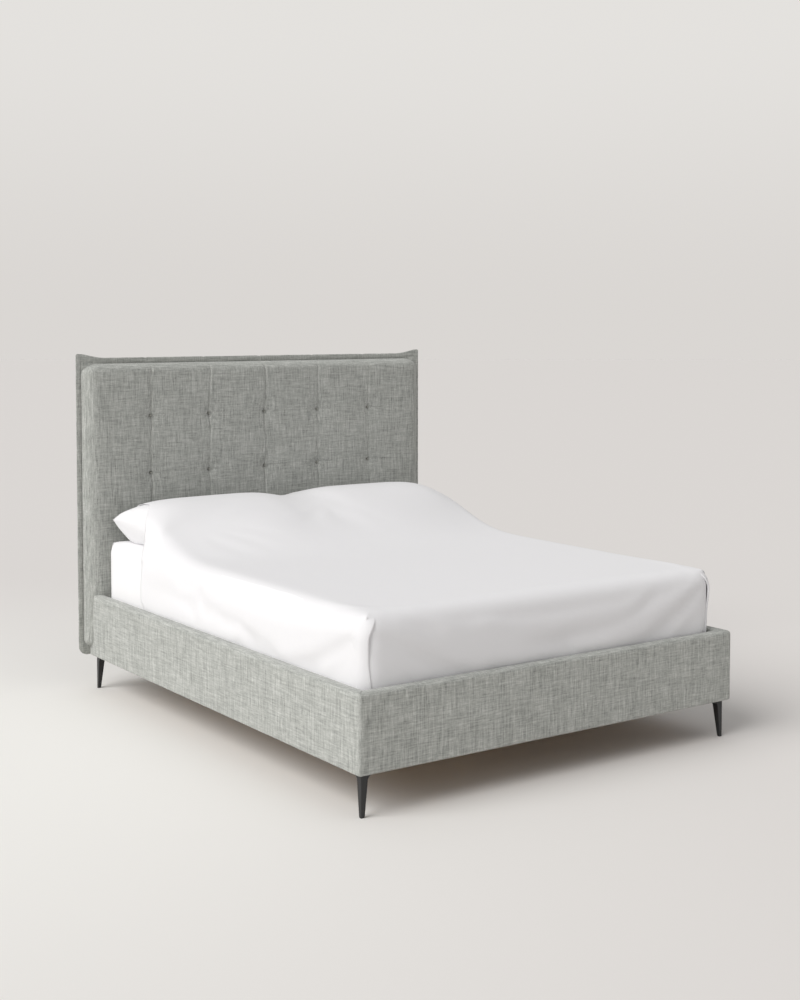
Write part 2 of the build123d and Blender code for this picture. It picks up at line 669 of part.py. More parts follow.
blank = mattress_block(SHEET_T)
with BuildPart() as fitted_sheet:
    add(blank.part)
    add(mattress.part, mode=Mode.SUBTRACT)
save(fitted_sheet, "fitted_sheet")

PILLOW_EDGE = 25.0
PILLOW_BASE = MATTRESS_TOP + SHEET_T + 1
PILLOW_FRONT = PILLOW_MID_Y - PILLOW_L / 2
PILLOW_REAR = PILLOW_MID_Y + PILLOW_L / 2
for side, sign in SIDES:
    with BuildPart() as pillow:
        with BuildSketch(Plane.YZ.offset(sign * 4)):
            with BuildLine():
                Polyline(
                    (PILLOW_FRONT, PILLOW_BASE + PILLOW_EDGE),
                    (PILLOW_FRONT, PILLOW_BASE),
                    (PILLOW_REAR, PILLOW_BASE),
                    (PILLOW_REAR, PILLOW_BASE + PILLOW_EDGE),
                )
                ThreePointArc(
                    (PILLOW_FRONT, PILLOW_BASE + PILLOW_EDGE),
                    (PILLOW_MID_Y, PILLOW_BASE + PILLOW_T),
                    (PILLOW_REAR, PILLOW_BASE + PILLOW_EDGE),
                )
            make_face()
        extrude(amount=sign * PILLOW_W)
    save(pillow, f"pillow_{side}")

COVERLET_GAP = 0.5
SKIRT_BOTTOM = DECK_Z + 10
COVER_IN_HALF = MATTRESS_W / 2 + SHEET_T + COVERLET_GAP
COVER_HALF = COVER_IN_HALF + COVERLET_T
COVER_FOOT = MATTRESS_FOOT - SHEET_T - COVERLET_GAP - COVERLET_T
COVER_HEAD = MATTRESS_HEAD + 7
COVER_TOP = MATTRESS_TOP + SHEET_T + COVERLET_TOP_T
PILLOW_COVER_T = 10.0
CAVITY_TOP = MATTRESS_TOP + SHEET_T + COVERLET_GAP
SKIRT_END_Y = FOOT_Y + 1760.0
HUMP_REACH = PILLOW_L / 2 + 18

cavity = mattress_block(SHEET_T + COVERLET_GAP)
HOLLOW = (PILLOW_MID_Y - HUMP_REACH, COVER_TOP)
HOLLOW_R = 120.0
COVER_EDGE_R = 30.0

with BuildPart() as coverlet:
    with BuildSketch(Plane.YZ.offset(-COVER_HALF)):
        with BuildLine():
            Polyline(
                HOLLOW,
                (COVER_FOOT, COVER_TOP),
                (COVER_FOOT, SKIRT_BOTTOM),
                (COVER_HEAD, SKIRT_BOTTOM),
                (COVER_HEAD, COVER_TOP),
                (PILLOW_MID_Y + HUMP_REACH - 4, COVER_TOP),
            )
            ThreePointArc(
                HOLLOW,
                (PILLOW_MID_Y, PILLOW_BASE + PILLOW_T + 4 + PILLOW_COVER_T),
                (PILLOW_MID_Y + HUMP_REACH - 4, COVER_TOP),
            )
        outline = make_face()
        fillet(outline.vertices().sort_by_distance((COVER_FOOT, COVER_TOP, 0))[0], COVER_EDGE_R)
        fillet(outline.vertices().sort_by_distance((*HOLLOW, 0))[0], HOLLOW_R)
    extrude(amount=2 * COVER_HALF)
    top_edges = coverlet.faces().filter_by(Plane.YZ).edges().filter_by(
        lambda edge: edge.center().Z > COVER_TOP - COVER_EDGE_R and edge.center().Y < COVER_HEAD - 1
    )
    fillet(top_edges, COVER_EDGE_R / 2)
    add(cavity.part, mode=Mode.SUBTRACT)
    with BuildSketch(Plane.YZ.offset(-COVER_IN_HALF)):
        with BuildLine():
            Polyline(
                (PILLOW_FRONT - 8, PILLOW_BASE + PILLOW_EDGE + 4),
                (PILLOW_FRONT - 8, MATTRESS_TOP - EDGE_R),
                (PILLOW_REAR + 5, MATTRESS_TOP - EDGE_R),
                (PILLOW_REAR + 5, PILLOW_BASE + PILLOW_EDGE + 4),
            )
            ThreePointArc(
                (PILLOW_REAR + 5, PILLOW_BASE + PILLOW_EDGE + 4),
                (PILLOW_MID_Y, PILLOW_BASE + PILLOW_T + 4),
                (PILLOW_FRONT - 8, PILLOW_BASE + PILLOW_EDGE + 4),
            )
        make_face()
    extrude(amount=2 * COVER_IN_HALF, mode=Mode.SUBTRACT)
    with BuildSketch(Plane.XY.offset(SKIRT_BOTTOM)):
        with Locations((0, (SKIRT_END_Y + COVER_HEAD) / 2)):
            Rectangle(2 * COVER_HALF, COVER_HEAD - SKIRT_END_Y)
    extrude(amount=CAVITY_TOP - SKIRT_BOTTOM, mode=Mode.SUBTRACT)
save(coverlet, "coverlet")
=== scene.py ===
"""Upholstered bed, made up with white bedding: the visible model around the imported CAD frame.

Metres, +Z up, +Y from the foot to the headboard, +X to the right seen from the foot.
"""

import math

import bmesh
import bpy
import numpy as np
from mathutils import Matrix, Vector, noise
from mathutils.bvhtree import BVHTree


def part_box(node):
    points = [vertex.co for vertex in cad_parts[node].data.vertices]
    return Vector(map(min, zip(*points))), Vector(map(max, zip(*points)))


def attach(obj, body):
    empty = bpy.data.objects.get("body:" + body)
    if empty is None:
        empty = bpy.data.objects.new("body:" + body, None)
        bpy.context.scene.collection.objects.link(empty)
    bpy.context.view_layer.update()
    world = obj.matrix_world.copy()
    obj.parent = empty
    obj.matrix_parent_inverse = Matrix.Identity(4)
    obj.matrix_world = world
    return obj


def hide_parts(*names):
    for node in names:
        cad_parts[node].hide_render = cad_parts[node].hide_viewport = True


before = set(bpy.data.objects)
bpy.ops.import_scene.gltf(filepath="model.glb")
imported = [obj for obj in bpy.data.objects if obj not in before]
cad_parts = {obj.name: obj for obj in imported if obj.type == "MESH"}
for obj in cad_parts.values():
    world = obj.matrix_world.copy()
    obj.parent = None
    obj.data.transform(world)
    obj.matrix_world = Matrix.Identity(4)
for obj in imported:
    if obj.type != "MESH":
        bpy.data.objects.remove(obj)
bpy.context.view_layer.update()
scene = bpy.context.scene

# ------------------------------------ places taken from the frame
RAIL_LOW, RAIL_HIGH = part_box("side_rail_cover_left")
FOOT_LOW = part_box("foot_rail_cover")[0]
FLANGE_LOW, FLANGE_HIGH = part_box("headboard_flange")
PAD_LOW, PAD_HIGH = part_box("headboard_cover")
MAT_LOW, MAT_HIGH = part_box("mattress")
LEDGER_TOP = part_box("slat_ledger_left")[1][2]
CORE_LOW, CORE_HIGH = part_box("side_rail_core_left")
TIE_LOW, TIE_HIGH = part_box("tuft_ties")
COVER_LOW, COVER_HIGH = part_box("coverlet")
PILLOW_BOXES = {side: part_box(f"pillow_{side}") for side in ("left", "right")}

HALF_W = -RAIL_LOW[0]
RAIL_T = RAIL_HIGH[0] - RAIL_LOW[0]
RAIL_BOTTOM, RAIL_TOP = RAIL_LOW[2], RAIL_HIGH[2]
FOOT_Y = FOOT_LOW[1]
HEAD_Y = RAIL_HIGH[1]
PAD_FRONT, PANEL_FRONT = PAD_LOW[1], PAD_HIGH[1]
MAT_HALF = -MAT_LOW[0]
MAT_MIDDLE, MAT_REACH = (MAT_LOW[1] + MAT_HIGH[1]) / 2, (MAT_HIGH[1] - MAT_LOW[1]) / 2
MAT_TOP = MAT_HIGH[2]
DECK = MAT_LOW[2]


# ------------------------------------ small helpers
def smooth(edge0, edge1, x):
    """0 at edge0, 1 at edge1, and an even S between them; the edges may run either way."""
    t = np.clip((np.asarray(x, float) - edge0) / (edge1 - edge0), 0, 1)
    return t * t * (3 - 2 * t)


def noise_at(points, scale, seed=0.0):
    """Smooth noise, about -1 to 1, at each point; scale is a number or one for each axis."""
    q = np.asarray(points, float) * np.asarray(scale, float) + seed
    return np.array([noise.noise(p) for p in q])


def grid_faces(rows, columns, start=0, close_rows=False, close_columns=False):
    """Quads of a grid of rows x columns points, numbered row by row from start."""
    faces = []
    for i in range(rows if close_rows else rows - 1):
        for j in range(columns if close_columns else columns - 1):
            a, b = i * columns + j, i * columns + (j + 1) % columns
            c, d = (i + 1) % rows * columns + (j + 1) % columns, (i + 1) % rows * columns + j
            faces.append(tuple(start + k for k in (a, b, c, d)))
    return faces


def make(name, points, faces, material, body="bed_frame"):
    """A smooth mesh piece that rides on a body, or on none yet where body is None."""
    mesh = bpy.data.meshes.new(name)
    mesh.from_pydata([tuple(map(float, p)) for p in points], [], faces)
    mesh.validate()
    mesh.materials.append(material)
    mesh.shade_smooth()
    piece = bpy.data.objects.new(name, mesh)
    scene.collection.objects.link(piece)
    if body:
        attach(piece, body)
    return piece


def fix_normals(piece):
    """Turns the faces outwards, also where a closed piece has them all inside out."""
    bm = bmesh.new()
    bm.from_mesh(piece.data)
    bmesh.ops.recalc_face_normals(bm, faces=bm.faces)
    if all(edge.is_manifold for edge in bm.edges) and bm.calc_volume(signed=True) < 0:
        bmesh.ops.reverse_faces(bm, faces=bm.faces)
    bm.to_mesh(piece.data)
    bm.free()


def points_of(piece):
    """The mesh's points, a row each."""
    co = np.empty(len(piece.data.vertices) * 3)
    piece.data.vertices.foreach_get("co", co)
    return co.reshape(-1, 3)


def set_points(piece, co):
    """Moves the mesh's points to these rows."""
    piece.data.vertices.foreach_set("co", np.asarray(co, float).ravel())
    piece.data.update()


def apply_modifiers(piece):
    """Bakes the piece's modifiers into its mesh."""
    graph = bpy.context.evaluated_depsgraph_get()
    mesh = bpy.data.meshes.new_from_object(piece.evaluated_get(graph))
    piece.modifiers.clear()
    piece.data = mesh
    mesh.shade_smooth()


def modifier(piece, kind, **settings):
    mod = piece.modifiers.new(kind.lower(), kind)
    for key, value in settings.items():
        setattr(mod, key, value)


def shape_with(piece, kind, **settings):
    """Adds one modifier and bakes it in."""
    modifier(piece, kind, **settings)
    apply_modifiers(piece)


def surface_tree(piece):
    """The piece's surface, for casting rays at it."""
    mesh = piece.data
    return BVHTree.FromPolygons([v.co for v in mesh.vertices], [face.vertices for face in mesh.polygons])


def arc(cx, cy, r, start, stop, steps):
    """Points on a circle's arc, from one angle to another in degrees."""
    turns = np.radians(np.linspace(start, stop, steps))
    return [(cx + r * math.cos(a), cy + r * math.sin(a)) for a in turns]


# ------------------------------------ materials
class Nodes:
    """A short way to write a node tree."""

    def __init__(self, name):
        self.material = bpy.data.materials.new(name)
        self.material.use_nodes = True
        self.tree = self.material.node_tree
        self.shader = self.tree.nodes["Principled BSDF"]
        self.place = self.add("ShaderNodeTexCoord").outputs["Object"]
        facing = self.add("ShaderNodeNewGeometry").outputs["Normal"]
        self.facing = self.add("ShaderNodeSeparateXYZ", {0: facing}).outputs

    def add(self, kind, inputs=None, **settings):
        node = self.tree.nodes.new(kind)
        for key, value in settings.items():
            setattr(node, key, value)
        for key, value in (inputs or {}).items():
            self.put(node.inputs[key], value)
        return node

    def put(self, socket, value):
        if isinstance(value, bpy.types.NodeSocket):
            self.tree.links.new(value, socket)
        else:
            socket.default_value = value

    def math(self, operation, a, b=0.0):
        return self.add("ShaderNodeMath", {0: a, 1: b}, operation=operation).outputs[0]

    def noise(self, scale, detail=2.0, rough=0.5, offset=(0, 0, 0)):
        where = self.add("ShaderNodeMapping", {"Vector": self.place, "Scale": scale, "Location": offset})
        return self.add("ShaderNodeTexNoise", {
            "Vector": where.outputs[0], "Scale": 1.0, "Detail": detail, "Roughness": rough,
        }).outputs[0]

    def ramp(self, value, stops):
        node = self.add("ShaderNodeValToRGB", {0: value})
        ramp = node.color_ramp
        while len(ramp.elements) < len(stops):
            ramp.elements.new(0.5)
        for element, (at, colour) in zip(ramp.elements, stops):
            element.position = at
            element.color = (*colour, 1)
        return node.outputs[0]

    def mix(self, factor, a, b):
        node = self.add("ShaderNodeMix", data_type="RGBA")
        for number, value in ((0, factor), (6, self.colour(a)), (7, self.colour(b))):
            self.put(node.inputs[number], value)
        return node.outputs[2]

    @staticmethod
    def colour(value):
        return value if isinstance(value, bpy.types.NodeSocket) else (*value, 1)

    def bump(self, height, strength, distance, below=None):
        inputs = {"Height": height, "Strength": strength, "Distance": distance}
        if below is not None:
            inputs["Normal"] = below
        return self.add("ShaderNodeBump", inputs).outputs[0]

    def finish(self, colour, roughness, normal=None, **constants):
        """Joins the results to the shader; constants go straight on its own sockets."""
        self.put(self.shader.inputs["Base Color"], self.colour(colour))
        self.put(self.shader.inputs["Roughness"], roughness)
        if normal is not None:
            self.put(self.shader.inputs["Normal"], normal)
        for key, value in constants.items():
            socket = key.replace("_", " ").title().replace("Ior", "IOR")
            self.shader.inputs[socket].default_value = value
        return self.material


def threads(n, along, across, detail=2.0, rough=0.55, upright=1.0):
    """Noise drawn out along the two axes that lie in the face, as crossing threads do.

    upright above 1 makes the threads that run up and down the stronger ones.
    """
    total, weights = None, None
    for axis in range(3):
        scale = [across] * 3
        scale[axis] = along
        streak = n.noise(scale, detail, rough, offset=(3.1 * axis, 7.7 * axis, 1.3 * axis))
        weight = n.math("SUBTRACT", 1.02, n.math("ABSOLUTE", n.facing[axis]))
        if axis == 2:
            weight = n.math("MULTIPLY", weight, upright)
        share = n.math("MULTIPLY", streak, weight)
        total = share if total is None else n.math("ADD", total, share)
        weights = weight if weights is None else n.math("ADD", weights, weight)
    return n.math("DIVIDE", total, weights)


def linen(name, dark, mid, light):
    """A coarse slubby plain weave of light and dark yarns."""
    n = Nodes(name)
    slub = threads(n, 13, 190, 2.0, 0.6, 1.35)
    yarn = threads(n, 60, 620, 1.0, 0.5)
    broad = n.noise((3.2, 3.2, 3.2), 2.0)
    mixed = n.math("ADD", n.math("MULTIPLY", slub, 0.62), n.math("MULTIPLY", yarn, 0.38))
    colour = n.ramp(mixed, ((0.34, dark), (0.50, mid), (0.66, light)))
    colour = n.mix(n.math("MULTIPLY", broad, 0.14), colour, tuple(c * 0.75 for c in mid))
    normal = n.bump(yarn, 0.4, 0.0008)
    normal = n.bump(slub, 0.25, 0.0008, normal)
    return n.finish(colour, 0.92, normal, sheen_weight=0.18, sheen_roughness=0.5, specular_ior_level=0.25)


def cotton(name, tint, crumple=0.25):
    """A fine plain weave with the faint crumples of washed cotton."""
    n = Nodes(name)
    weave = threads(n, 300, 2600, 1.0, 0.5)
    soft = n.noise((9, 9, 9), 3.0, 0.55)
    small = n.noise((46, 30, 46), 2.0, 0.5)
    colour = n.mix(n.math("MULTIPLY", weave, 0.10), tint, tuple(c * 0.86 for c in tint))
    normal = n.bump(weave, 0.25, 0.0003)
    normal = n.bump(small, 0.10 * crumple, 0.004, normal)
    normal = n.bump(soft, 0.35 * crumple, 0.012, normal)
    return n.finish(colour, 0.8, normal, sheen_weight=0.12, sheen_roughness=0.4, specular_ior_level=0.3)


def ticking(name):
    """The mattress's own knitted cloth, with a small raised diamond pattern."""
    n = Nodes(name)
    weave = threads(n, 260, 1600, 1.0)
    parts = n.add("ShaderNodeSeparateXYZ", {0: n.place})
    a = n.math("SINE", n.math("MULTIPLY", n.math("ADD", parts.outputs[0], parts.outputs[1]), 110.0))
    b = n.math("SINE", n.math("MULTIPLY", n.math("SUBTRACT", parts.outputs[0], parts.outputs[1]), 110.0))
    diamond = n.math("ABSOLUTE", n.math("MULTIPLY", a, b))
    colour = n.mix(n.math("MULTIPLY", weave, 0.2), (0.78, 0.77, 0.74), (0.62, 0.61, 0.58))
    normal = n.bump(weave, 0.3, 0.0005, n.bump(diamond, 0.4, 0.002))
    return n.finish(colour, 0.85, normal, sheen_weight=0.1, specular_ior_level=0.3)


def wood(name, dark, light, axis):
    """Long grain along one axis, with growth rings, pores and a little wear."""
    n = Nodes(name)
    long = [22.0] * 3
    long[axis] = 1.4
    warp = n.noise(long, 3.0, 0.6)
    fine = [320.0] * 3
    fine[axis] = 6.0
    pores = n.noise(fine, 2.0, 0.6)
    rings = n.math("FRACT", n.math("MULTIPLY", warp, 9.0))
    rings = n.math("MULTIPLY", n.math("ABSOLUTE", n.math("SUBTRACT", rings, 0.5)), 2.0)
    grain = n.math("ADD", n.math("MULTIPLY", rings, 0.45), n.math("MULTIPLY", pores, 0.55))
    colour = n.ramp(grain, ((0.2, dark), (0.8, light)))
    rough = n.math("ADD", n.math("MULTIPLY", pores, 0.2), 0.45)
    return n.finish(colour, rough, n.bump(grain, 0.25, 0.0006), specular_ior_level=0.4)


def plywood(name):
    """Birch plywood: pale faces, and dark glue lines across the thickness."""
    n = Nodes(name)
    face = n.noise((18, 1.6, 40), 3.0, 0.6)
    pores = n.noise((300, 8, 300), 2.0)
    parts = n.add("ShaderNodeSeparateXYZ", {0: n.place})
    layer = n.math("SINE", n.math("MULTIPLY", n.math("ADD", parts.outputs[0], parts.outputs[1]), 2100.0))
    colour = n.ramp(n.math("ADD", n.math("MULTIPLY", face, 0.6), n.math("MULTIPLY", pores, 0.4)),
                    ((0.25, (0.42, 0.28, 0.15)), (0.75, (0.66, 0.50, 0.32))))
    colour = n.mix(n.math("MULTIPLY", n.math("GREATER_THAN", layer, 0.8), 0.35), colour, (0.22, 0.13, 0.07))
    return n.finish(colour, 0.65, n.bump(pores, 0.2, 0.0005), specular_ior_level=0.35)


def metal(name, colour, metallic, rough, grit, scale=700.0):
    """Painted or bare metal with a fine surface texture and faint handling marks."""
    n = Nodes(name)
    fine = n.noise((scale, scale, scale), 2.0, 0.6)
    wide = n.noise((24, 24, 24), 3.0)
    roughness = n.math("ADD", n.math("MULTIPLY", wide, 0.18), rough - 0.09)
    tone = n.mix(n.math("MULTIPLY", wide, 0.3), colour, tuple(c * 0.7 for c in colour))
    return n.finish(tone, roughness, n.bump(fine, grit, 0.0002), metallic=metallic, specular_ior_level=0.5)


def plastic(name, colour, rough=0.5):
    """Moulded plastic with a fine even grain."""
    n = Nodes(name)
    fine = n.noise((1400, 1400, 1400), 1.0)
    wide = n.noise((30, 30, 30), 2.0)
    tone = n.mix(n.math("MULTIPLY", wide, 0.25), colour, tuple(c * 1.5 for c in colour))
    return n.finish(tone, rough, n.bump(fine, 0.25, 0.0002), specular_ior_level=0.5)


def webbing(name, tint):
    """Narrow tape with a herringbone of thick threads."""
    n = Nodes(name)
    parts = n.add("ShaderNodeSeparateXYZ", {0: n.place})
    row = n.math("SINE", n.math("MULTIPLY", parts.outputs[1], 2600.0))
    column = n.math("SINE", n.math("MULTIPLY", parts.outputs[0], 2600.0))
    cross = n.math("MULTIPLY", row, column)
    colour = n.mix(n.math("MULTIPLY", n.math("ADD", cross, 1.0), 0.3), tint, tuple(c * 0.5 for c in tint))
    return n.finish(colour, 0.9, n.bump(cross, 0.5, 0.0005), specular_ior_level=0.2)


LINEN = linen("linen_grey", (0.195, 0.203, 0.190), (0.415, 0.425, 0.400), (0.645, 0.656, 0.624))
LINING = linen("lining_black", (0.010, 0.010, 0.010), (0.018, 0.018, 0.018), (0.030, 0.030, 0.030))
COTTON = cotton("percale_white", (0.825, 0.82, 0.835))
# the fitted sheet's white is painted lighter than the coverlet's, a painted lift against the shade the
# headboard casts on the sheet
SHEET_COTTON = cotton("fitted_sheet_white", (0.89, 0.885, 0.895), 0.3)
PILLOW_COTTON = cotton("pillowcase_white", (0.825, 0.82, 0.835), 0.5)
TICKING = ticking("ticking_cream")
WOODS = [wood(f"pine_{'xyz'[axis]}", (0.42, 0.26, 0.12), (0.68, 0.48, 0.27), axis) for axis in range(3)]
SLAT_WOOD = wood("slat_beech", (0.46, 0.29, 0.15), (0.70, 0.51, 0.31), 0)
PLYWOOD = plywood("birch_ply")
BLACK_METAL = metal("leg_black", (0.020, 0.020, 0.021), 0.0, 0.42, 0.18)
GREY_METAL = metal("tube_grey", (0.16, 0.16, 0.17), 0.0, 0.5, 0.25)
ZINC = metal("zinc_plate", (0.60, 0.60, 0.58), 1.0, 0.34, 0.12, 300.0)
BLACK_PLASTIC = plastic("glide_black", (0.02, 0.02, 0.02))
FOOT_PLASTIC = plastic("foot_black", (0.03, 0.03, 0.03), 0.45)
TAPE = webbing("tape_natural", (0.68, 0.66, 0.60))

NODE_MATERIALS = {
    "side_rail_core": PLYWOOD, "foot_rail_core": PLYWOOD, "headboard_panel": PLYWOOD,
    "slat_ledger": WOODS[1], "leg_blocks": WOODS[2],
    "headboard_stile": WOODS[2], "headboard_top_bar": WOODS[0], "headboard_middle_bar": WOODS[0],
    "headboard_bottom_bar": WOODS[0], "slat_webbing": TAPE, "tuft_ties": TAPE,
    "leg_foot": BLACK_METAL, "leg_head": BLACK_METAL, "leg_glides": BLACK_PLASTIC,
    "centre_leg": GREY_METAL, "levelling_foot": FOOT_PLASTIC, "centre_rail_saddles": ZINC,
    "headboard_border": LINEN, "headboard_back_cloth": LINING,
    # a longer name comes before the shorter one that it starts with
    "centre_rail": WOODS[1],
}
for node_name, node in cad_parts.items():
    numbered_slat = node_name[5:].isdigit()
    # what has no line of its own is metal hardware, or a plain solid that a mesh replaces later
    rest = SLAT_WOOD if numbered_slat else ZINC
    chosen = next((m for key, m in NODE_MATERIALS.items() if node_name.startswith(key)), rest)
    node.data.materials.clear()
    node.data.materials.append(chosen)


# ------------------------------------ padded rails
def rail_section():
    """One rail's cloth in section: (inward from the outer face, height), round the core."""
    gap = 0.0005
    core_out = CORE_LOW[0] + HALF_W - gap
    core_in = CORE_HIGH[0] + HALF_W + gap
    core_top = CORE_HIGH[2] + gap
    low_r, out_r, in_r = 0.007, 0.013, 0.011
    outline = [(core_out, RAIL_BOTTOM + gap)]
    outline += arc(low_r, RAIL_BOTTOM + low_r, low_r, 270, 180, 6)
    outline += [(0.0, z) for z in np.linspace(RAIL_BOTTOM + 0.02, RAIL_TOP - 0.022, 22)]
    outline += arc(out_r, RAIL_TOP - out_r, out_r, 180, 90, 6)
    outline += [(d, RAIL_TOP) for d in np.linspace(out_r + 0.004, RAIL_T - in_r - 0.004, 5)]
    outline += arc(RAIL_T - in_r, RAIL_TOP - in_r, in_r, 90, 0, 6)
    outline += [(RAIL_T, z) for z in np.linspace(RAIL_TOP - 0.018, LEDGER_TOP + 0.006, 6)]
    outline += [(RAIL_T - 0.002, LEDGER_TOP + 0.001), (core_in, LEDGER_TOP + gap)]
    outline += [(core_in, core_top), (core_out, core_top)]
    return np.array(outline)


SECTION = rail_section()


def rail_wrap(name, length, place, mitres, seed):
    """Sweeps the section along a rail; place(along, inward, height) gives points in the frame.

    mitres says whether the rail's start and its end are cut at 45 degrees.
    """
    end_run, corner_r = 0.03, 0.009
    along = np.concatenate([
        np.linspace(0, end_run, 13)[:-1],
        np.linspace(end_run, length - end_run, int(length / 0.011)),
        np.linspace(length - end_run, length, 13)[1:],
    ])
    rows = []
    for position in along:
        t = position / length
        section = SECTION.copy()
        inward = section[:, 0].copy()
        start = inward * (1 - t) if mitres[0] else 0 * inward
        stop = inward * t if mitres[1] else 0 * inward
        where = position + start - stop
        for flag, off in ((mitres[0], position), (mitres[1], length - position)):
            if flag and off < corner_r:
                angle = math.radians(45 * (1 - off / corner_r))
                pull = np.clip(1 - inward / 0.016, 0, 1)
                section[:, 0] += pull * corner_r * (1 - math.cos(angle))
                shift = pull * (corner_r * (1 - math.sin(angle)) - off)
                where = where + shift * (1 if off == position else -1)
        rows.append(np.column_stack([where, section]))
    co = np.array(rows)
    flat = co.reshape(-1, 3)
    # the face is crowned a little, and the cloth's pull leaves it faintly uneven
    height = (flat[:, 2] - RAIL_BOTTOM) / (RAIL_TOP - RAIL_BOTTOM)
    face = smooth(0.012, 0.0, flat[:, 1])
    crown = face * 0.0016 * np.clip(4 * height * (1 - height), 0, 1)
    waves = noise_at(flat, (7, 0, 16), seed) * 0.0010 + noise_at(flat, (26, 0, 9), seed + 9) * 0.0004
    edge = smooth(0.0, 0.02, np.minimum(flat[:, 0], length - flat[:, 0]))
    flat[:, 1] -= (crown + face * (waves + 0.0004)) * edge - 0.0006 * face
    top = smooth(RAIL_TOP - 0.02, RAIL_TOP - 0.002, flat[:, 2])
    flat[:, 2] -= top * (0.0007 + 0.0008 * noise_at(flat, (9, 9, 0), seed + 3)) * edge
    # the two cloths turn in along the mitre, where they are sewn together
    for flag, off in ((mitres[0], flat[:, 0] - flat[:, 1]), (mitres[1], length - flat[:, 0] - flat[:, 1])):
        if flag:
            seam = np.exp(-((np.abs(off) / 0.0028) ** 2)) * smooth(0.010, 0.016, flat[:, 1])
            flat[:, 2] -= 0.0022 * seam * top
    points = [place(*p) for p in flat]
    columns = len(SECTION)
    faces = grid_faces(len(along), columns, close_columns=True)
    last = (len(along) - 1) * columns
    faces += [tuple(range(columns))[::-1], tuple(range(last, last + columns))]
    piece = make(name, points, faces, LINEN)
    fix_normals(piece)
    return piece


RAIL_LEN = HEAD_Y - FOOT_Y
for side, sign in (("left", -1), ("right", 1)):
    wrap = rail_wrap(
        f"rail_padding_{side}", RAIL_LEN,
        lambda along, inward, z, s=sign: (s * (HALF_W - inward), FOOT_Y + along, z),
        (True, False), 11.3 * sign,
    )
    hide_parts(f"side_rail_cover_{side}")
foot_wrap = rail_wrap(
    "rail_padding_foot", 2 * HALF_W,
    lambda along, inward, z: (-HALF_W + along, FOOT_Y + inward, z),
    (True, True), 5.7,
)
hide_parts("foot_rail_cover")

# ------------------------------------ headboard
TIE_R = 0.0015
TUFT_XS = np.linspace(TIE_LOW[0] + TIE_R, TIE_HIGH[0] - TIE_R, 5)
TUFT_ZS = np.linspace(TIE_LOW[2] + TIE_R, TIE_HIGH[2] - TIE_R, 4)
# for each column of tufts from the left: how deep its pleat is, and how far it wanders to the side
PLEAT_STRENGTH = (1.0, 0.85, 1.0, 0.7, 0.45)
PLEAT_WANDER = (0.004, 0.003, 0.0035, 0.003, 0.002)


def dense_lines(low, high, centres, near, fine, coarse):
    """Grid lines from low to high, finer near the centres."""
    lines, at = [low], low
    while at < high - coarse / 2:
        gap = min(abs(at - c) for c in centres)
        at += fine if gap < near else coarse
        lines.append(min(at, high))
    lines[-1] = high
    return np.array(lines)


def pad_relief(x, z):
    """How far the headboard's face stands out (+) or is drawn in (-), in metres."""
    relief = np.zeros_like(x)
    nearest = np.full_like(x, 9.0)
    for row, tz in enumerate(TUFT_ZS):
        for column, tx in enumerate(TUFT_XS):
            dx, dz = x - tx, z - tz
            r = np.hypot(dx, dz)
            nearest = np.minimum(nearest, r)
            relief -= 0.0170 * np.exp(-((r / 0.0085) ** 1.2))
            relief -= 0.0045 * np.exp(-((r / 0.040) ** 2))
            # short creases that run out of the tuft to either side
            for way, strength in ((1, 0.0028), (-1, 0.0020)):
                reach = smooth(0.0, 0.01, way * dx) * smooth(0.140, 0.03, way * dx)
                line = dz - 0.003 * np.sin(dx * 30 + row * 2 + column)
                relief -= strength * reach * np.exp(-np.abs(line) / 0.0035)
                relief += 0.5 * strength * reach * np.exp(-(((line - 0.010) / 0.007) ** 2))
    relief += 0.0055 * (1 - np.exp(-((nearest / 0.10) ** 2)))
    # pleats down the tuft columns, deepest just above the top tufts
    for column, tx in enumerate(TUFT_XS):
        wander = PLEAT_WANDER[column] * (np.sin(z * 23 + column * 1.9) + 0.6 * np.sin(z * 51 + column))
        near_tuft = np.min([np.abs(z - tz) for tz in TUFT_ZS], axis=0)
        wander = wander * smooth(0.0, 0.05, near_tuft)
        d = x - tx - wander
        above = smooth(TUFT_ZS[-1] - 0.01, TUFT_ZS[-1] + 0.03, z)
        depth = PLEAT_STRENGTH[column] * (0.0074 + 0.0026 * above)
        depth = depth * (0.55 + 0.45 * smooth(0.12, 0.02, near_tuft))
        inside = smooth(TUFT_ZS[0] - 0.06, TUFT_ZS[0], z)
        relief -= depth * inside * np.exp(-np.abs(d) / 0.0032)
        relief += 0.16 * depth * inside * np.exp(-(((d - 0.011) / 0.006) ** 2))
        relief -= 0.40 * depth * inside * np.exp(-((d / 0.035) ** 2))
    points = np.column_stack([x.ravel(), 0 * x.ravel(), z.ravel()])
    relief += 0.0014 * noise_at(points, (6, 1, 6), 4.0).reshape(x.shape)
    relief += 0.0005 * noise_at(points, (34, 1, 14), 8.0).reshape(x.shape)
    return relief


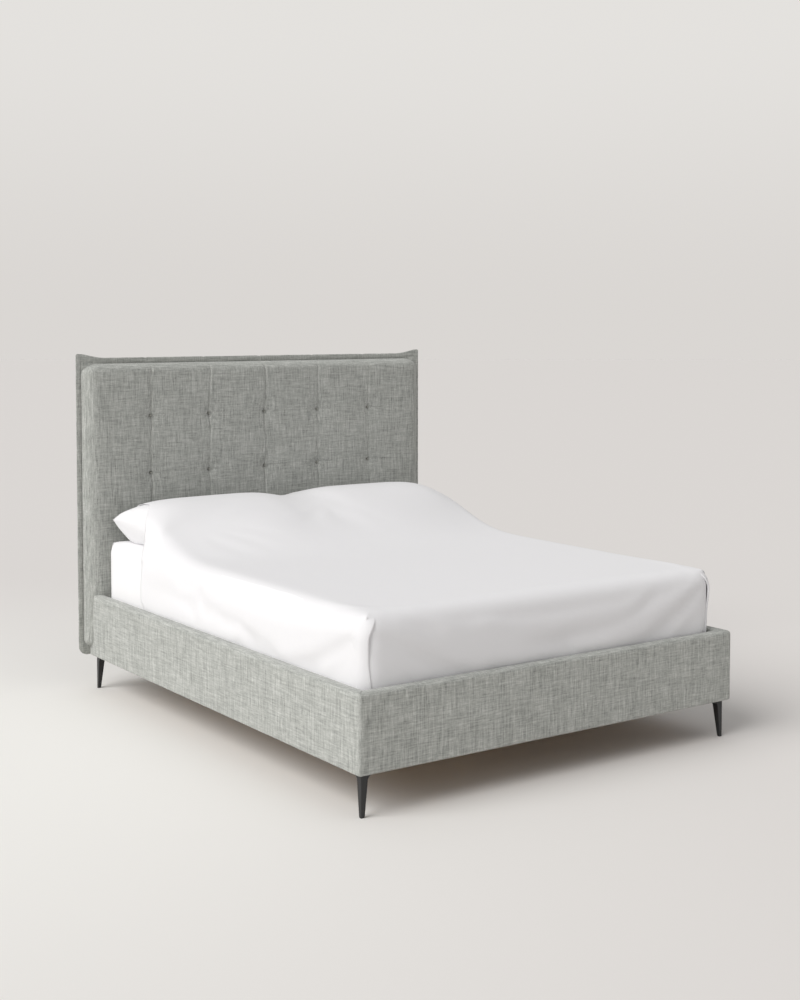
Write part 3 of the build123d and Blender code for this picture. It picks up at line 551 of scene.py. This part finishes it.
def headboard_pad():
    """The padded front: broad rolls at its sides, tighter ones at its top and bottom, and a flat back."""
    roll, roll_x, roll_z = PANEL_FRONT - PAD_FRONT, 0.082, 0.044
    half = PAD_HIGH[0]
    low, high = PAD_LOW[2], PAD_HIGH[2]
    # set back a little, because the relief's swells stand out from here
    front = PAD_FRONT + 0.0035
    turns = 1 - (np.sin(np.linspace(0, math.pi / 2, 12)) ** 0.8)[::-1]
    inner_x = dense_lines(-half + roll_x, half - roll_x, TUFT_XS, 0.024, 0.0026, 0.0085)
    inner_z = dense_lines(low + roll_z, high - roll_z, TUFT_ZS, 0.020, 0.0028, 0.0090)
    xs = np.concatenate([-half + roll_x * turns[:-1], inner_x, half - roll_x * turns[:-1][::-1]])
    zs = np.concatenate([low + roll_z * turns[:-1], inner_z, high - roll_z * turns[:-1][::-1]])
    x, z = np.meshgrid(xs, zs)
    p = np.clip((np.abs(x) - (half - roll_x)) / roll_x, 0, 1)
    middle, tall = (low + high) / 2, (high - low) / 2
    q = np.clip((np.abs(z - middle) - (tall - roll_z)) / roll_z, 0, 1)
    pr, qr = p * np.sqrt(1 - q * q / 2), q * np.sqrt(1 - p * p / 2)
    x = x - np.sign(x) * roll_x * (p - pr)
    z = z - np.sign(z - middle) * roll_z * (q - qr)
    back = roll * (1 - np.clip(1 - np.hypot(pr, qr) ** 2.5, 0, 1) ** (1 / 2.2))
    # the relief fades out round the rolls
    turn = np.maximum(p, q)
    relief = pad_relief(x, z) * (0.15 + 0.85 * smooth(1.0, 0.35, turn)) * smooth(0.0, 0.25, 1 - turn)
    y = np.minimum(front + back - relief, PANEL_FRONT)
    rows, columns = x.shape
    points = np.column_stack([x.ravel(), y.ravel(), z.ravel()])
    faces = grid_faces(rows, columns)
    rim = list(range(columns))
    rim += [i * columns + columns - 1 for i in range(1, rows)]
    rim += [(rows - 1) * columns + j for j in range(columns - 2, -1, -1)]
    rim += [i * columns for i in range(rows - 2, 0, -1)]
    faces.append(tuple(rim))
    return points, faces


pad = make("headboard_padding", *headboard_pad(), LINEN)
fix_normals(pad)
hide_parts("headboard_foam", "headboard_cover")


def flange_outline(steps=1500):
    """The flange's outer edge, anticlockwise seen from the foot, evenly spaced: x, z."""
    half, low, top = FLANGE_HIGH[0], FLANGE_LOW[2], FLANGE_HIGH[2]
    rise, reach = 0.018, 0.150
    level = top - rise
    low_r, ear_r = 0.040, 0.008
    right = arc(half - low_r, low + low_r, low_r, -90, 0, 12)
    right.append((half, top - 0.010))
    right += arc(half - ear_r, top - ear_r, ear_r, 0, 90, 6)
    # the ear comes down to the straight top edge in a soft curve
    for t in np.linspace(0.02, 1, 24):
        ease = float(smooth(0.08, 0.95, t)) ** 0.75
        fall = rise * ease + 0.0015 * math.sin(math.pi * t)
        right.append((half - ear_r - (reach - ear_r) * t, top - fall))
    outline = right + [(-x, z) for x, z in right[::-1]]
    outline = np.array(outline + [outline[0]])
    run = np.concatenate([[0], np.cumsum(np.linalg.norm(np.diff(outline, axis=0), axis=1))])
    at = np.linspace(0, run[-1], steps, endpoint=False)
    x = np.interp(at, run, outline[:, 0])
    z = np.interp(at, run, outline[:, 1])
    return x, z, level


def flange_mesh():
    """Sweeps the flange's section round its outline: a groove by the pad, then a soft puckered edging."""
    x, z, level = flange_outline()
    half, low = FLANGE_HIGH[0], FLANGE_LOW[2]
    width = 0.062
    inner_x = np.clip(x, -(half - width), half - width)
    inner_z = np.clip(z, low + width, level - width)
    top_edge = smooth(level - 0.03, level - 0.01, z)
    dips = sum(np.exp(-(((x - tx + 0.004) / 0.007) ** 2)) for tx in TUFT_XS)
    path = np.column_stack([x, 0 * x, z])
    pucker = noise_at(path, (30, 1, 30), 2.0)
    ripple = noise_at(path, (85, 1, 85), 6.0)
    thick = FLANGE_HIGH[1] - FLANGE_LOW[1]
    # in front of the panel's square corners
    corner = smooth(half - 0.060, half - 0.038, np.abs(x)) * (z < low + 0.060)
    section = (
        # share of the way out from the inner edge, depth from the front as a share of the thickness
        (0.00, -0.22), (0.50, -0.22), (0.56, 0.00), (0.62, 0.30), (0.65, 0.10), (0.70, 0.00),
        (0.80, -0.04), (0.93, 0.04), (0.98, 0.18), (1.00, 0.40), (1.00, 0.62), (0.98, 0.84),
        (0.93, 0.96), (0.70, 1.00), (0.58, 1.00), (0.56, 0.10), (0.00, -0.16),
    )
    points = []
    for i in range(len(x)):
        wobble = 0.0009 * pucker[i] + 0.0004 * ripple[i]
        drop = 0.0020 * top_edge[i] * dips[i]
        for out, deep in section:
            if 0.5 < out < 0.9 and deep < 0.5:
                deep = deep + (-0.28 - deep) * corner[i]
            push = wobble * (0.3 + out) if out > 0.57 else 0.0
            px = inner_x[i] + (x[i] - inner_x[i]) * out
            py = FLANGE_LOW[1] + thick * deep + push
            pz = inner_z[i] + (z[i] - inner_z[i] - drop + 0.6 * wobble) * out
            points.append((px, py, pz))
    faces = grid_faces(len(x), len(section), close_rows=True, close_columns=True)
    return points, faces


flange = make("headboard_flange_cloth", *flange_mesh(), LINEN)
fix_normals(flange)
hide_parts("headboard_flange")


# ------------------------------------ mattress and fitted sheet
def shell_grid(half_x, y0, y1, z0, z1, step, corner, edge, bottom=False):
    """A box's top and four sides as one welded grid, with rounded corners and edges.

    Returns points, faces and, for each point, how far down its side it is (0 on the top).
    """
    nx, ny, nz = (int(round(size / step)) for size in (2 * half_x, y1 - y0, z1 - z0))
    index, points, down = {}, [], []

    def point(i, j, k):
        key = (i, j, k)
        if key not in index:
            index[key] = len(points)
            points.append((-half_x + 2 * half_x * i / nx, y0 + (y1 - y0) * j / ny, z1 - (z1 - z0) * k / nz))
            down.append(k / nz)
        return index[key]

    def quad(*corners):
        faces.append(tuple(point(*corner) for corner in corners))

    faces = []
    for i in range(nx):
        for j in range(ny):
            quad((i, j, 0), (i + 1, j, 0), (i + 1, j + 1, 0), (i, j + 1, 0))
            if bottom:
                quad((i, j, nz), (i, j + 1, nz), (i + 1, j + 1, nz), (i + 1, j, nz))
    for k in range(nz):
        for i in range(nx):
            quad((i, 0, k + 1), (i + 1, 0, k + 1), (i + 1, 0, k), (i, 0, k))
            quad((i, ny, k), (i + 1, ny, k), (i + 1, ny, k + 1), (i, ny, k + 1))
        for j in range(ny):
            quad((0, j, k), (0, j + 1, k), (0, j + 1, k + 1), (0, j, k + 1))
            quad((nx, j, k + 1), (nx, j + 1, k + 1), (nx, j + 1, k), (nx, j, k))
    co = np.array(points)
    middle = np.array([0, (y0 + y1) / 2])
    reach = np.array([half_x, (y1 - y0) / 2])
    # round the plan's corners, then the top edge (and the bottom one on a closed block)
    off = co[:, :2] - middle
    over = np.clip(np.abs(off) - (reach - corner), 0, None) / corner
    a, b = over[:, 0], over[:, 1]
    ra, rb = a * np.sqrt(1 - b * b / 2), b * np.sqrt(1 - a * a / 2)
    co[:, 0] -= np.sign(off[:, 0]) * corner * (a - ra)
    co[:, 1] -= np.sign(off[:, 1]) * corner * (b - rb)
    for flip in (1, -1) if bottom else (1,):
        gap_z = (z1 - co[:, 2]) if flip > 0 else (co[:, 2] - z0)
        p = np.clip(1 - gap_z / edge, 0, 1)
        off = co[:, :2] - middle
        inset = np.abs(off) - (reach - edge)
        q = np.clip(np.max(inset, axis=1) / edge, 0, 1)
        pr, qr = p * np.sqrt(1 - q * q / 2), q * np.sqrt(1 - p * p / 2)
        co[:, 2] -= flip * edge * (p - pr)
        which = np.argmax(inset, axis=1)
        for axis in (0, 1):
            use = which == axis
            co[use, axis] -= np.sign(off[use, axis]) * edge * (q - qr)[use]
    return co, faces, np.array(down)


def mattress_piece():
    """The mattress under its sheet: quilted on top, with sides that belly out at mid height."""
    co, faces, _ = shell_grid(
        MAT_HALF, MAT_LOW[1], MAT_HIGH[1], DECK, MAT_TOP, step=0.02, corner=0.056, edge=0.050, bottom=True,
    )
    height = (co[:, 2] - DECK) / (MAT_TOP - DECK)
    top = smooth(0.93, 1.0, height)
    stitch = math.pi / 0.16
    quilt = np.abs(np.sin(co[:, 0] * stitch) * np.sin((co[:, 1] - MAT_MIDDLE) * stitch))
    co[:, 2] += top * 0.002 * (quilt ** 0.5 - 1)
    belly = 0.003 * np.sin(math.pi * np.clip(height, 0, 1)) - 0.003
    co[:, 0] += np.sign(co[:, 0]) * belly * smooth(0.5, 0.75, np.abs(co[:, 0]))
    block = make("mattress_block", co, faces, TICKING, "mattress_set")
    fix_normals(block)
    shape_with(block, "SUBSURF", levels=1, render_levels=1)
    return block


block = mattress_piece()
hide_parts("mattress")


def edge_tape_mesh():
    """A thin piped tape round the mattress, near its top and its bottom."""
    r, corner_r, sunk, from_edge = 0.0032, 0.042, 0.0235, 0.012
    reach_x, reach_y = MAT_HALF - sunk - corner_r, MAT_REACH - sunk - corner_r
    quarters = ((1, 1, 0), (-1, 1, 90), (-1, -1, 180), (1, -1, 270))
    ring = [
        (cx * reach_x + corner_r * math.cos(a), MAT_MIDDLE + cy * reach_y + corner_r * math.sin(a), a)
        for cx, cy, start in quarters for a in np.radians(np.linspace(start, start + 90, 9))
    ]
    points, faces = [], []
    for z in (DECK + from_edge, MAT_TOP - from_edge):
        faces += grid_faces(len(ring), 8, len(points), close_rows=True, close_columns=True)
        for x, y, a in ring:
            for b in np.linspace(0, 2 * math.pi, 8, endpoint=False):
                out = r * math.cos(b)
                points.append((x + out * math.cos(a), y + out * math.sin(a), z + r * math.sin(b)))
    return points, faces


edge_tape = make("mattress_edge_tape", *edge_tape_mesh(), TICKING, "mattress_set")
fix_normals(edge_tape)


SHEET_HEM = DECK + 0.012


def fitted_sheet_piece():
    """The fitted sheet, stretched over the mattress down to its elastic."""
    g = 0.0012
    co, faces, down = shell_grid(
        MAT_HALF + g, MAT_LOW[1] - g, MAT_HIGH[1] + g, SHEET_HEM, MAT_TOP + g,
        step=0.0125, corner=0.057, edge=0.051,
    )
    out = np.zeros_like(co)
    for axis, reach, off in ((0, MAT_HALF + g, co[:, 0]), (1, MAT_REACH + g, co[:, 1] - MAT_MIDDLE)):
        out[:, axis] = np.sign(off) * smooth(0.03, 0.0, reach - np.abs(off))
    # upright gathers from the elastic, and slacker folds near the corners
    gathers = noise_at(co, (38, 38, 2.5), 3.0) * (0.0006 + 0.0022 * down ** 2)
    soft = noise_at(co, (11, 11, 4), 5.0) * 0.0016
    co += out * (np.clip(gathers + soft + 0.0012, 0.0002, 0.0045) * smooth(0.0, 0.2, down))[:, None]
    piece = make("fitted_sheet_cloth", co, faces, SHEET_COTTON, "mattress_set")
    fix_normals(piece)
    return piece


sheet_cloth = fitted_sheet_piece()
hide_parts("fitted_sheet")


# ------------------------------------ pillows
def pillow_start(low, high):
    """A filled pillow between two corners: a closed envelope, thin at its seam."""
    nu, nv = 62, 38
    # the grid is crowded towards the seam, so that its roll is smooth
    widest = math.pi / 2 * 0.98
    u, v = np.meshgrid(*(np.sin(np.linspace(-widest, widest, n)) / math.sin(widest) for n in (nu, nv)))
    # full to near its ends, with a long low front
    ends = (1 - np.abs(u) ** 5.0) ** 0.60
    swell = ends * np.where(v < 0, (1 - np.abs(v) ** 1.8) ** 0.92, (1 - np.abs(v) ** 2.4) ** 0.62)
    half_l, half_w = (high[0] - low[0]) / 2, (high[1] - low[1]) / 2
    # the sides draw in between the corners, which stay as points
    draw_x = 0.020 * (1 - v ** 2) * np.abs(u) ** 3
    draw_y = 0.022 * (1 - u ** 2) * np.abs(v) ** 3
    x = (low[0] + high[0]) / 2 + np.sign(u) * (np.abs(u) * half_l - draw_x)
    y = (low[1] + high[1]) / 2 + np.sign(v) * (np.abs(v) * half_w - draw_y)
    tilt = smooth(low[1], high[1], y)
    seam = low[2] + 0.050 + 0.042 * tilt
    top = seam + (high[2] - seam) * swell
    bottom = seam - (seam - low[2]) * np.clip(swell * 1.9, 0, 1)
    bottom = np.maximum(bottom, low[2])
    points = [tuple(p) for p in np.column_stack([x.ravel(), y.ravel(), top.ravel()])]
    faces = grid_faces(nv, nu)
    lower, count = {}, len(points)
    for i in range(nv):
        for j in range(nu):
            if i in (0, nv - 1) or j in (0, nu - 1):
                lower[i, j] = i * nu + j
            else:
                lower[i, j] = count
                points.append((x[i, j], y[i, j], bottom[i, j]))
                count += 1
    for i in range(nv - 1):
        for j in range(nu - 1):
            faces.append((lower[i, j], lower[i + 1, j], lower[i + 1, j + 1], lower[i, j + 1]))
    return points, faces


def cloth_settle(piece, frames, most, stiff, bend, slack, gravity=0.0, pressure=0.0, pinned=(), quality=6,
                 distance=0.003, mass=0.25):
    """Runs a cloth simulation on the piece and keeps its last shape, no point moved further than most."""
    before = points_of(piece)
    mod = piece.modifiers.new("settle", "CLOTH")
    s = mod.settings
    s.quality = quality
    s.mass = mass
    s.air_damping = 2.0
    s.tension_stiffness = stiff
    s.compression_stiffness = stiff
    s.shear_stiffness = stiff / 2
    s.bending_stiffness = bend
    s.tension_damping = 8
    s.compression_damping = 8
    s.shear_damping = 8
    s.shrink_min = -slack
    s.effector_weights.gravity = gravity
    if pressure:
        s.use_pressure = True
        s.uniform_pressure_force = pressure
    if len(pinned):
        group = piece.vertex_groups.new(name="pins")
        group.add([int(index) for index in pinned], 1.0, "REPLACE")
        s.vertex_group_mass = "pins"
        s.pin_stiffness = 1.0
    mod.collision_settings.distance_min = distance
    mod.collision_settings.use_self_collision = False
    mod.point_cache.frame_end = frames + 1
    for number in range(1, frames + 1):
        scene.frame_set(number)
    apply_modifiers(piece)
    scene.frame_set(1)
    move = points_of(piece) - before
    length = np.linalg.norm(move, axis=1)
    set_points(piece, before + move * np.minimum(1, most / np.maximum(length, 1e-9))[:, None])


pillows = []
for side in ("left", "right"):
    low, high = (np.array(corner) for corner in PILLOW_BOXES[side])
    # it starts a little smaller than its place, because it swells
    low, high = low + (0.004, 0.004, 0.0), high - (0.004, 0.004, 0.006)
    pillow = make(f"pillow_{side}_filled", *pillow_start(low, high), PILLOW_COTTON, None)
    fix_normals(pillow)
    cloth_settle(pillow, 16, most=0.012, stiff=18.0, bend=0.15, slack=0.012, pressure=2.5)
    settled = points_of(pillow)
    settled[:, 2] = np.maximum(settled[:, 2], low[2])
    set_points(pillow, settled)
    shape_with(pillow, "SUBSURF", levels=1, render_levels=1)
    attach(pillow, "mattress_set")
    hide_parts(f"pillow_{side}")
    pillows.append(pillow)

# ------------------------------------ coverlet
COVER_HALF = COVER_HIGH[0]
COVER_TOP = MAT_TOP + 0.015
TUCK_Z = COVER_LOW[2] + 0.004
SKIRT_END = FOOT_Y + 1.70
COVER_Y0, COVER_Y1 = COVER_LOW[1] + 0.0015, COVER_HIGH[1] - 0.004
# the drape is worked out on a grid of x and y with this step
MAP_STEP = 0.01
MAP_X = np.arange(-COVER_HALF, COVER_HALF + MAP_STEP, MAP_STEP)
MAP_Y = np.arange(COVER_Y0, COVER_Y1 + MAP_STEP, MAP_STEP)


def drape_map():
    """Height of a cloth pulled over the mattress and pillows and sagging a little, on a grid of x and y."""
    under = np.full((len(MAP_Y), len(MAP_X)), COVER_TOP)
    above_all, down, thickness = 2.0, Vector((0, 0, -1)), 0.006
    for pillow in pillows:
        tree = surface_tree(pillow)
        for j, y in enumerate(MAP_Y):
            for i, x in enumerate(MAP_X):
                hit = tree.ray_cast(Vector((x, y, above_all)), down)[0]
                if hit is not None:
                    under[j, i] = max(under[j, i], hit.z + thickness)
    # the pillows are pushed together, so the cloth bridges the gap between them
    bridge = 0.24
    gap = np.abs(MAP_X) < bridge
    ends = np.nonzero(gap)[0][[0, -1]] + (-1, 1)
    dip = 0.10 * (1 - (MAP_X[gap] / bridge) ** 2)
    for row in under:
        line = np.interp(MAP_X[gap], MAP_X[ends], row[ends])
        row[gap] = np.maximum(row[gap], line - dip * (line - COVER_TOP))
    # and it comes down from them to the mattress in a long slope, shorter at the ends
    for i, x in enumerate(MAP_X):
        peak = under[:, i].max()
        crest = MAP_Y[np.argmax(under[:, i] > peak - 0.004)]
        reach = 0.36 + 0.26 * float(smooth(-0.74, -0.25, x)) - 0.12 * float(smooth(0.30, 0.75, x))
        slope = 1 - smooth(0.0, 1.0, (crest - MAP_Y) / reach)
        under[:, i] = np.maximum(under[:, i], COVER_TOP + (peak - COVER_TOP) * slope * (MAP_Y < crest))
    # each pass draws every point towards its neighbours, as a taut skin with a little weight
    height, rounds, weight = under.copy(), 500, 0.000015
    for _ in range(rounds):
        around = height.copy()
        around[1:-1, 1:-1] = (height[:-2, 1:-1] + height[2:, 1:-1] + height[1:-1, :-2] + height[1:-1, 2:]) / 4
        around[1:-1, 0] = (height[:-2, 0] + height[2:, 0] + 2 * height[1:-1, 1]) / 4
        around[1:-1, -1] = (height[:-2, -1] + height[2:, -1] + 2 * height[1:-1, -2]) / 4
        around[-1, 1:-1] = (height[-1, :-2] + height[-1, 2:] + 2 * height[-2, 1:-1]) / 4
        height = np.maximum(under, around - weight)
    return height


DRAPE = drape_map()


def drape_height(x, y):
    """The drape's height at any place, read from its grid."""
    fx = np.clip((x - MAP_X[0]) / MAP_STEP, 0, len(MAP_X) - 1.001)
    fy = np.clip((y - MAP_Y[0]) / MAP_STEP, 0, len(MAP_Y) - 1.001)
    i, j = fx.astype(int), fy.astype(int)
    u, v = fx - i, fy - j
    return ((1 - u) * (1 - v) * DRAPE[j, i] + u * (1 - v) * DRAPE[j, i + 1]
            + (1 - u) * v * DRAPE[j + 1, i] + u * v * DRAPE[j + 1, i + 1])


# soft wrinkles that fan out on the coverlet from where the pillows meet and from the left pillow's
# corner: the fan's x and y, its direction as an angle, how many wrinkles a turn holds, and their height
WRINKLES = ((0.06, 0.60, -1.9, 11, 0.0020), (-0.60, 0.50, -0.7, 13, 0.0026))


def coverlet_piece():
    """The coverlet before it settles, and for each point how far down its side it is."""
    co, faces, down = shell_grid(
        COVER_HALF - 0.0015, COVER_Y0, COVER_Y1, TUCK_Z, COVER_TOP, step=0.0205, corner=0.074, edge=0.078,
    )
    top = smooth(COVER_TOP - 0.080, COVER_TOP - 0.006, co[:, 2])
    co[:, 2] += top * (drape_height(co[:, 0], co[:, 1]) - COVER_TOP)
    crown = 0.006
    co[:, 2] += crown * top * (1 - (co[:, 0] / COVER_HALF) ** 2)
    for px, py, turn, count, size in WRINKLES:
        away = np.hypot(co[:, 0] - px, co[:, 1] - py)
        angle = np.arctan2(co[:, 1] - py, co[:, 0] - px)
        ring = smooth(0.05, 0.12, away) * smooth(0.42, 0.14, away)
        ring = ring * smooth(1.5, 0.4, np.abs(angle - turn))
        fan = np.cos(count * (angle - turn) + 1.6 * np.sin(angle * 3.1 + away * 9))
        co[:, 2] += size * top * ring * fan
    # beside the pillows the side hem rises and comes in, and there is no skirt at the head
    centre = np.array([co[list(f)].mean(axis=0) for f in faces])
    fall = np.array([down[list(f)].mean() for f in faces])
    hem = 0.05 + 0.95 * smooth(SKIRT_END + 0.10, SKIRT_END - 0.10, centre[:, 1])
    behind = (centre[:, 1] > COVER_Y1 - 0.03) & (fall > 0.08)
    side_edge = COVER_HALF - 0.095 * smooth(SKIRT_END - 0.04, SKIRT_END + 0.14, centre[:, 1])
    keep = (fall <= hem) & ~behind & (np.abs(centre[:, 0]) <= side_edge)
    faces = [f for f, k in zip(faces, keep) if k]
    used = sorted({i for f in faces for i in f})
    place = {old: new for new, old in enumerate(used)}
    faces = [tuple(place[i] for i in f) for f in faces]
    co, down = co[used], down[used]
    piece = make("coverlet_cloth", co, faces, COTTON, None)
    fix_normals(piece)
    return piece, down


cover, cover_down = coverlet_piece()
solids = [block, *pillows]
for solid in solids:
    modifier(solid, "COLLISION")
    solid.collision.thickness_outer = 0.002
    solid.collision.cloth_friction = 12
cloth_settle(
    cover, 18, most=0.014, stiff=14.0, bend=1.0, slack=0.010, gravity=0.30,
    pinned=np.nonzero(cover_down > 0.9)[0], quality=7, mass=0.3, distance=0.002,
)
for solid in solids:
    solid.modifiers.clear()
shape_with(cover, "SMOOTH", factor=0.5, iterations=3)
shape_with(cover, "SUBSURF", levels=1, render_levels=1)
shape_with(cover, "SOLIDIFY", thickness=0.0024, offset=0.0)
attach(cover, "coverlet_body")
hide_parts("coverlet")

# the fold's section at a corner: share of the way round to its lip, and how far the lip curls in
FOLD_SECTION = [(share, 0.0) for share in (*np.linspace(0, 0.80, 14), 0.87, 0.93, 0.975)]
FOLD_SECTION += [(1.0, 0.0010), (1.01, 0.0030), (1.0, 0.0052), (0.98, 0.0068), (0.955, 0.0072)]


def corner_fold(side):
    """The bedding's side, brought round a foot corner to end in a rolled lip over the foot's face.

    Rays towards an upright axis inside the corner find the coverlet, and the fold lies on it.
    """
    tree = surface_tree(cover)
    inset, rows = 0.080, 40
    axis_x, axis_y = side * (COVER_HALF - 0.078), COVER_Y0 + inset
    high, low = COVER_TOP - 0.016, TUCK_Z + 0.012
    # it starts round on the side, this deep in the coverlet, so that its first edge doesn't show
    first, buried = -0.10, 0.0028
    points = []
    for t in np.linspace(0, 1, rows):
        axis = Vector((axis_x, axis_y, high + (low - high) * t))
        lip_x = 0.026 + 0.030 * float(smooth(0.0, 0.32, t)) - 0.012 * float(smooth(0.55, 1.0, t))
        last = math.atan2(inset, lip_x)
        lift = 0.0040 + 0.0072 * math.exp(-((t - 0.30) / 0.20) ** 2)
        out_of_roll = float(smooth(0.0, 0.12, t))
        for share, curl in FOLD_SECTION:
            angle = first + (last - first) * share
            way = Vector((side * math.cos(angle), -math.sin(angle), 0))
            hit = tree.ray_cast(axis + way * 0.25, -way)[0]
            if hit is None:
                hit = axis + way * inset
            rise = ((lift + buried) * float(smooth(0.15, 0.92, share)) - curl) * out_of_roll - buried
            points.append(tuple(hit + way * rise))
    name = f"coverlet_fold_{'left' if side < 0 else 'right'}"
    piece = make(name, points, grid_faces(rows, len(FOLD_SECTION)), COTTON, None)
    shape_with(piece, "SUBSURF", levels=1, render_levels=1)
    shape_with(piece, "SOLIDIFY", thickness=0.0014, offset=0.0)
    fix_normals(piece)
    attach(piece, "coverlet_body")


for side in (-1, 1):
    corner_fold(side)


# ------------------------------------ stage, light and camera
def studio_paper():
    """Plain pale paper, with a painted pool of light round a place to the left of the bed."""
    n = Nodes("studio_paper")
    paper = n.noise((1.3, 1.3, 1.3), 3.0)
    # painted pool of light: the paper's colour grows lighter towards this place, where the key light falls
    # from the left
    painted_light_centre, dark_from, light_to = (-2.6, 0.6, 0.0), 4.4, 0.6
    away = n.add("ShaderNodeVectorMath", {0: n.place, 1: painted_light_centre}, operation="DISTANCE").outputs["Value"]
    near = n.add("ShaderNodeMapRange", {0: away, 1: dark_from, 2: light_to}, interpolation_type="SMOOTHSTEP")
    tone = n.mix(near.outputs[0], (0.750, 0.724, 0.706), (0.905, 0.895, 0.865))
    return n.finish(n.mix(n.math("MULTIPLY", paper, 0.05), tone, (0.76, 0.74, 0.72)), 0.9)


FLOOR_CORNERS = ((-60, -30, 0), (60, -30, 0), (60, 90, 0), (-60, 90, 0))
floor = make("studio_floor", FLOOR_CORNERS, [(0, 1, 2, 3)], studio_paper(), None)


def studio_world():
    """Even soft light all round, behind it a pale backdrop with painted shade that makes it a little darker
    low down.
    """
    world = bpy.data.worlds.new("studio")
    world.use_nodes = True
    sky = world.node_tree
    soft = sky.nodes["Background"]
    soft.inputs[0].default_value = (1.0, 0.995, 0.985, 1)
    soft.inputs[1].default_value = 0.45
    around, parts, shade, tint, seen, ray, which = (sky.nodes.new(f"ShaderNode{kind}") for kind in (
        "TexCoord", "SeparateXYZ", "MapRange", "Mix", "Background", "LightPath", "MixShader"))
    shade.interpolation_type = "SMOOTHSTEP"
    shade.inputs[1].default_value = 0.0
    shade.inputs[2].default_value = 0.20
    tint.data_type = "RGBA"
    # painted shade: the backdrop's colour is darker low down, where less light reaches it
    tint.inputs[6].default_value = (0.701, 0.676, 0.652, 1)
    tint.inputs[7].default_value = (0.775, 0.757, 0.732, 1)
    for start, end in (
        (around.outputs["Generated"], parts.inputs[0]),
        (parts.outputs[2], shade.inputs[0]),
        (shade.outputs[0], tint.inputs[0]),
        (tint.outputs[2], seen.inputs[0]),
        (ray.outputs["Is Camera Ray"], which.inputs[0]),
        (soft.outputs[0], which.inputs[1]),
        (seen.outputs[0], which.inputs[2]),
        (which.outputs[0], sky.nodes["World Output"].inputs[0]),
    ):
        sky.links.new(start, end)
    return world


scene.world = studio_world()


def sun(name, direction, strength, angle, colour):
    """A soft distant light that shines along a direction."""
    lamp = bpy.data.lights.new(name, "SUN")
    lamp.energy = strength
    lamp.angle = math.radians(angle)
    lamp.color = colour
    lamp_object = bpy.data.objects.new(name, lamp)
    scene.collection.objects.link(lamp_object)
    lamp_object.rotation_euler = Vector(direction).to_track_quat("-Z", "Y").to_euler()


sun("key", (0.755, 0.03, -0.655), 2.38, 46, (1.0, 0.99, 0.98))

camera = bpy.data.cameras.new("camera")
camera_object = bpy.data.objects.new("camera", camera)
scene.collection.objects.link(camera_object)
camera_object.location = (-3.3863, FOOT_Y - 3.86, 1.582)
camera_object.rotation_euler = (math.radians(87.0), 0.0, -math.radians(34.95))
camera.lens = 53.56
camera.sensor_width = 36.0
camera.shift_y = -0.1018
camera.clip_end = 60.0
scene.camera = camera_object
scene.view_settings.view_transform = "Standard"
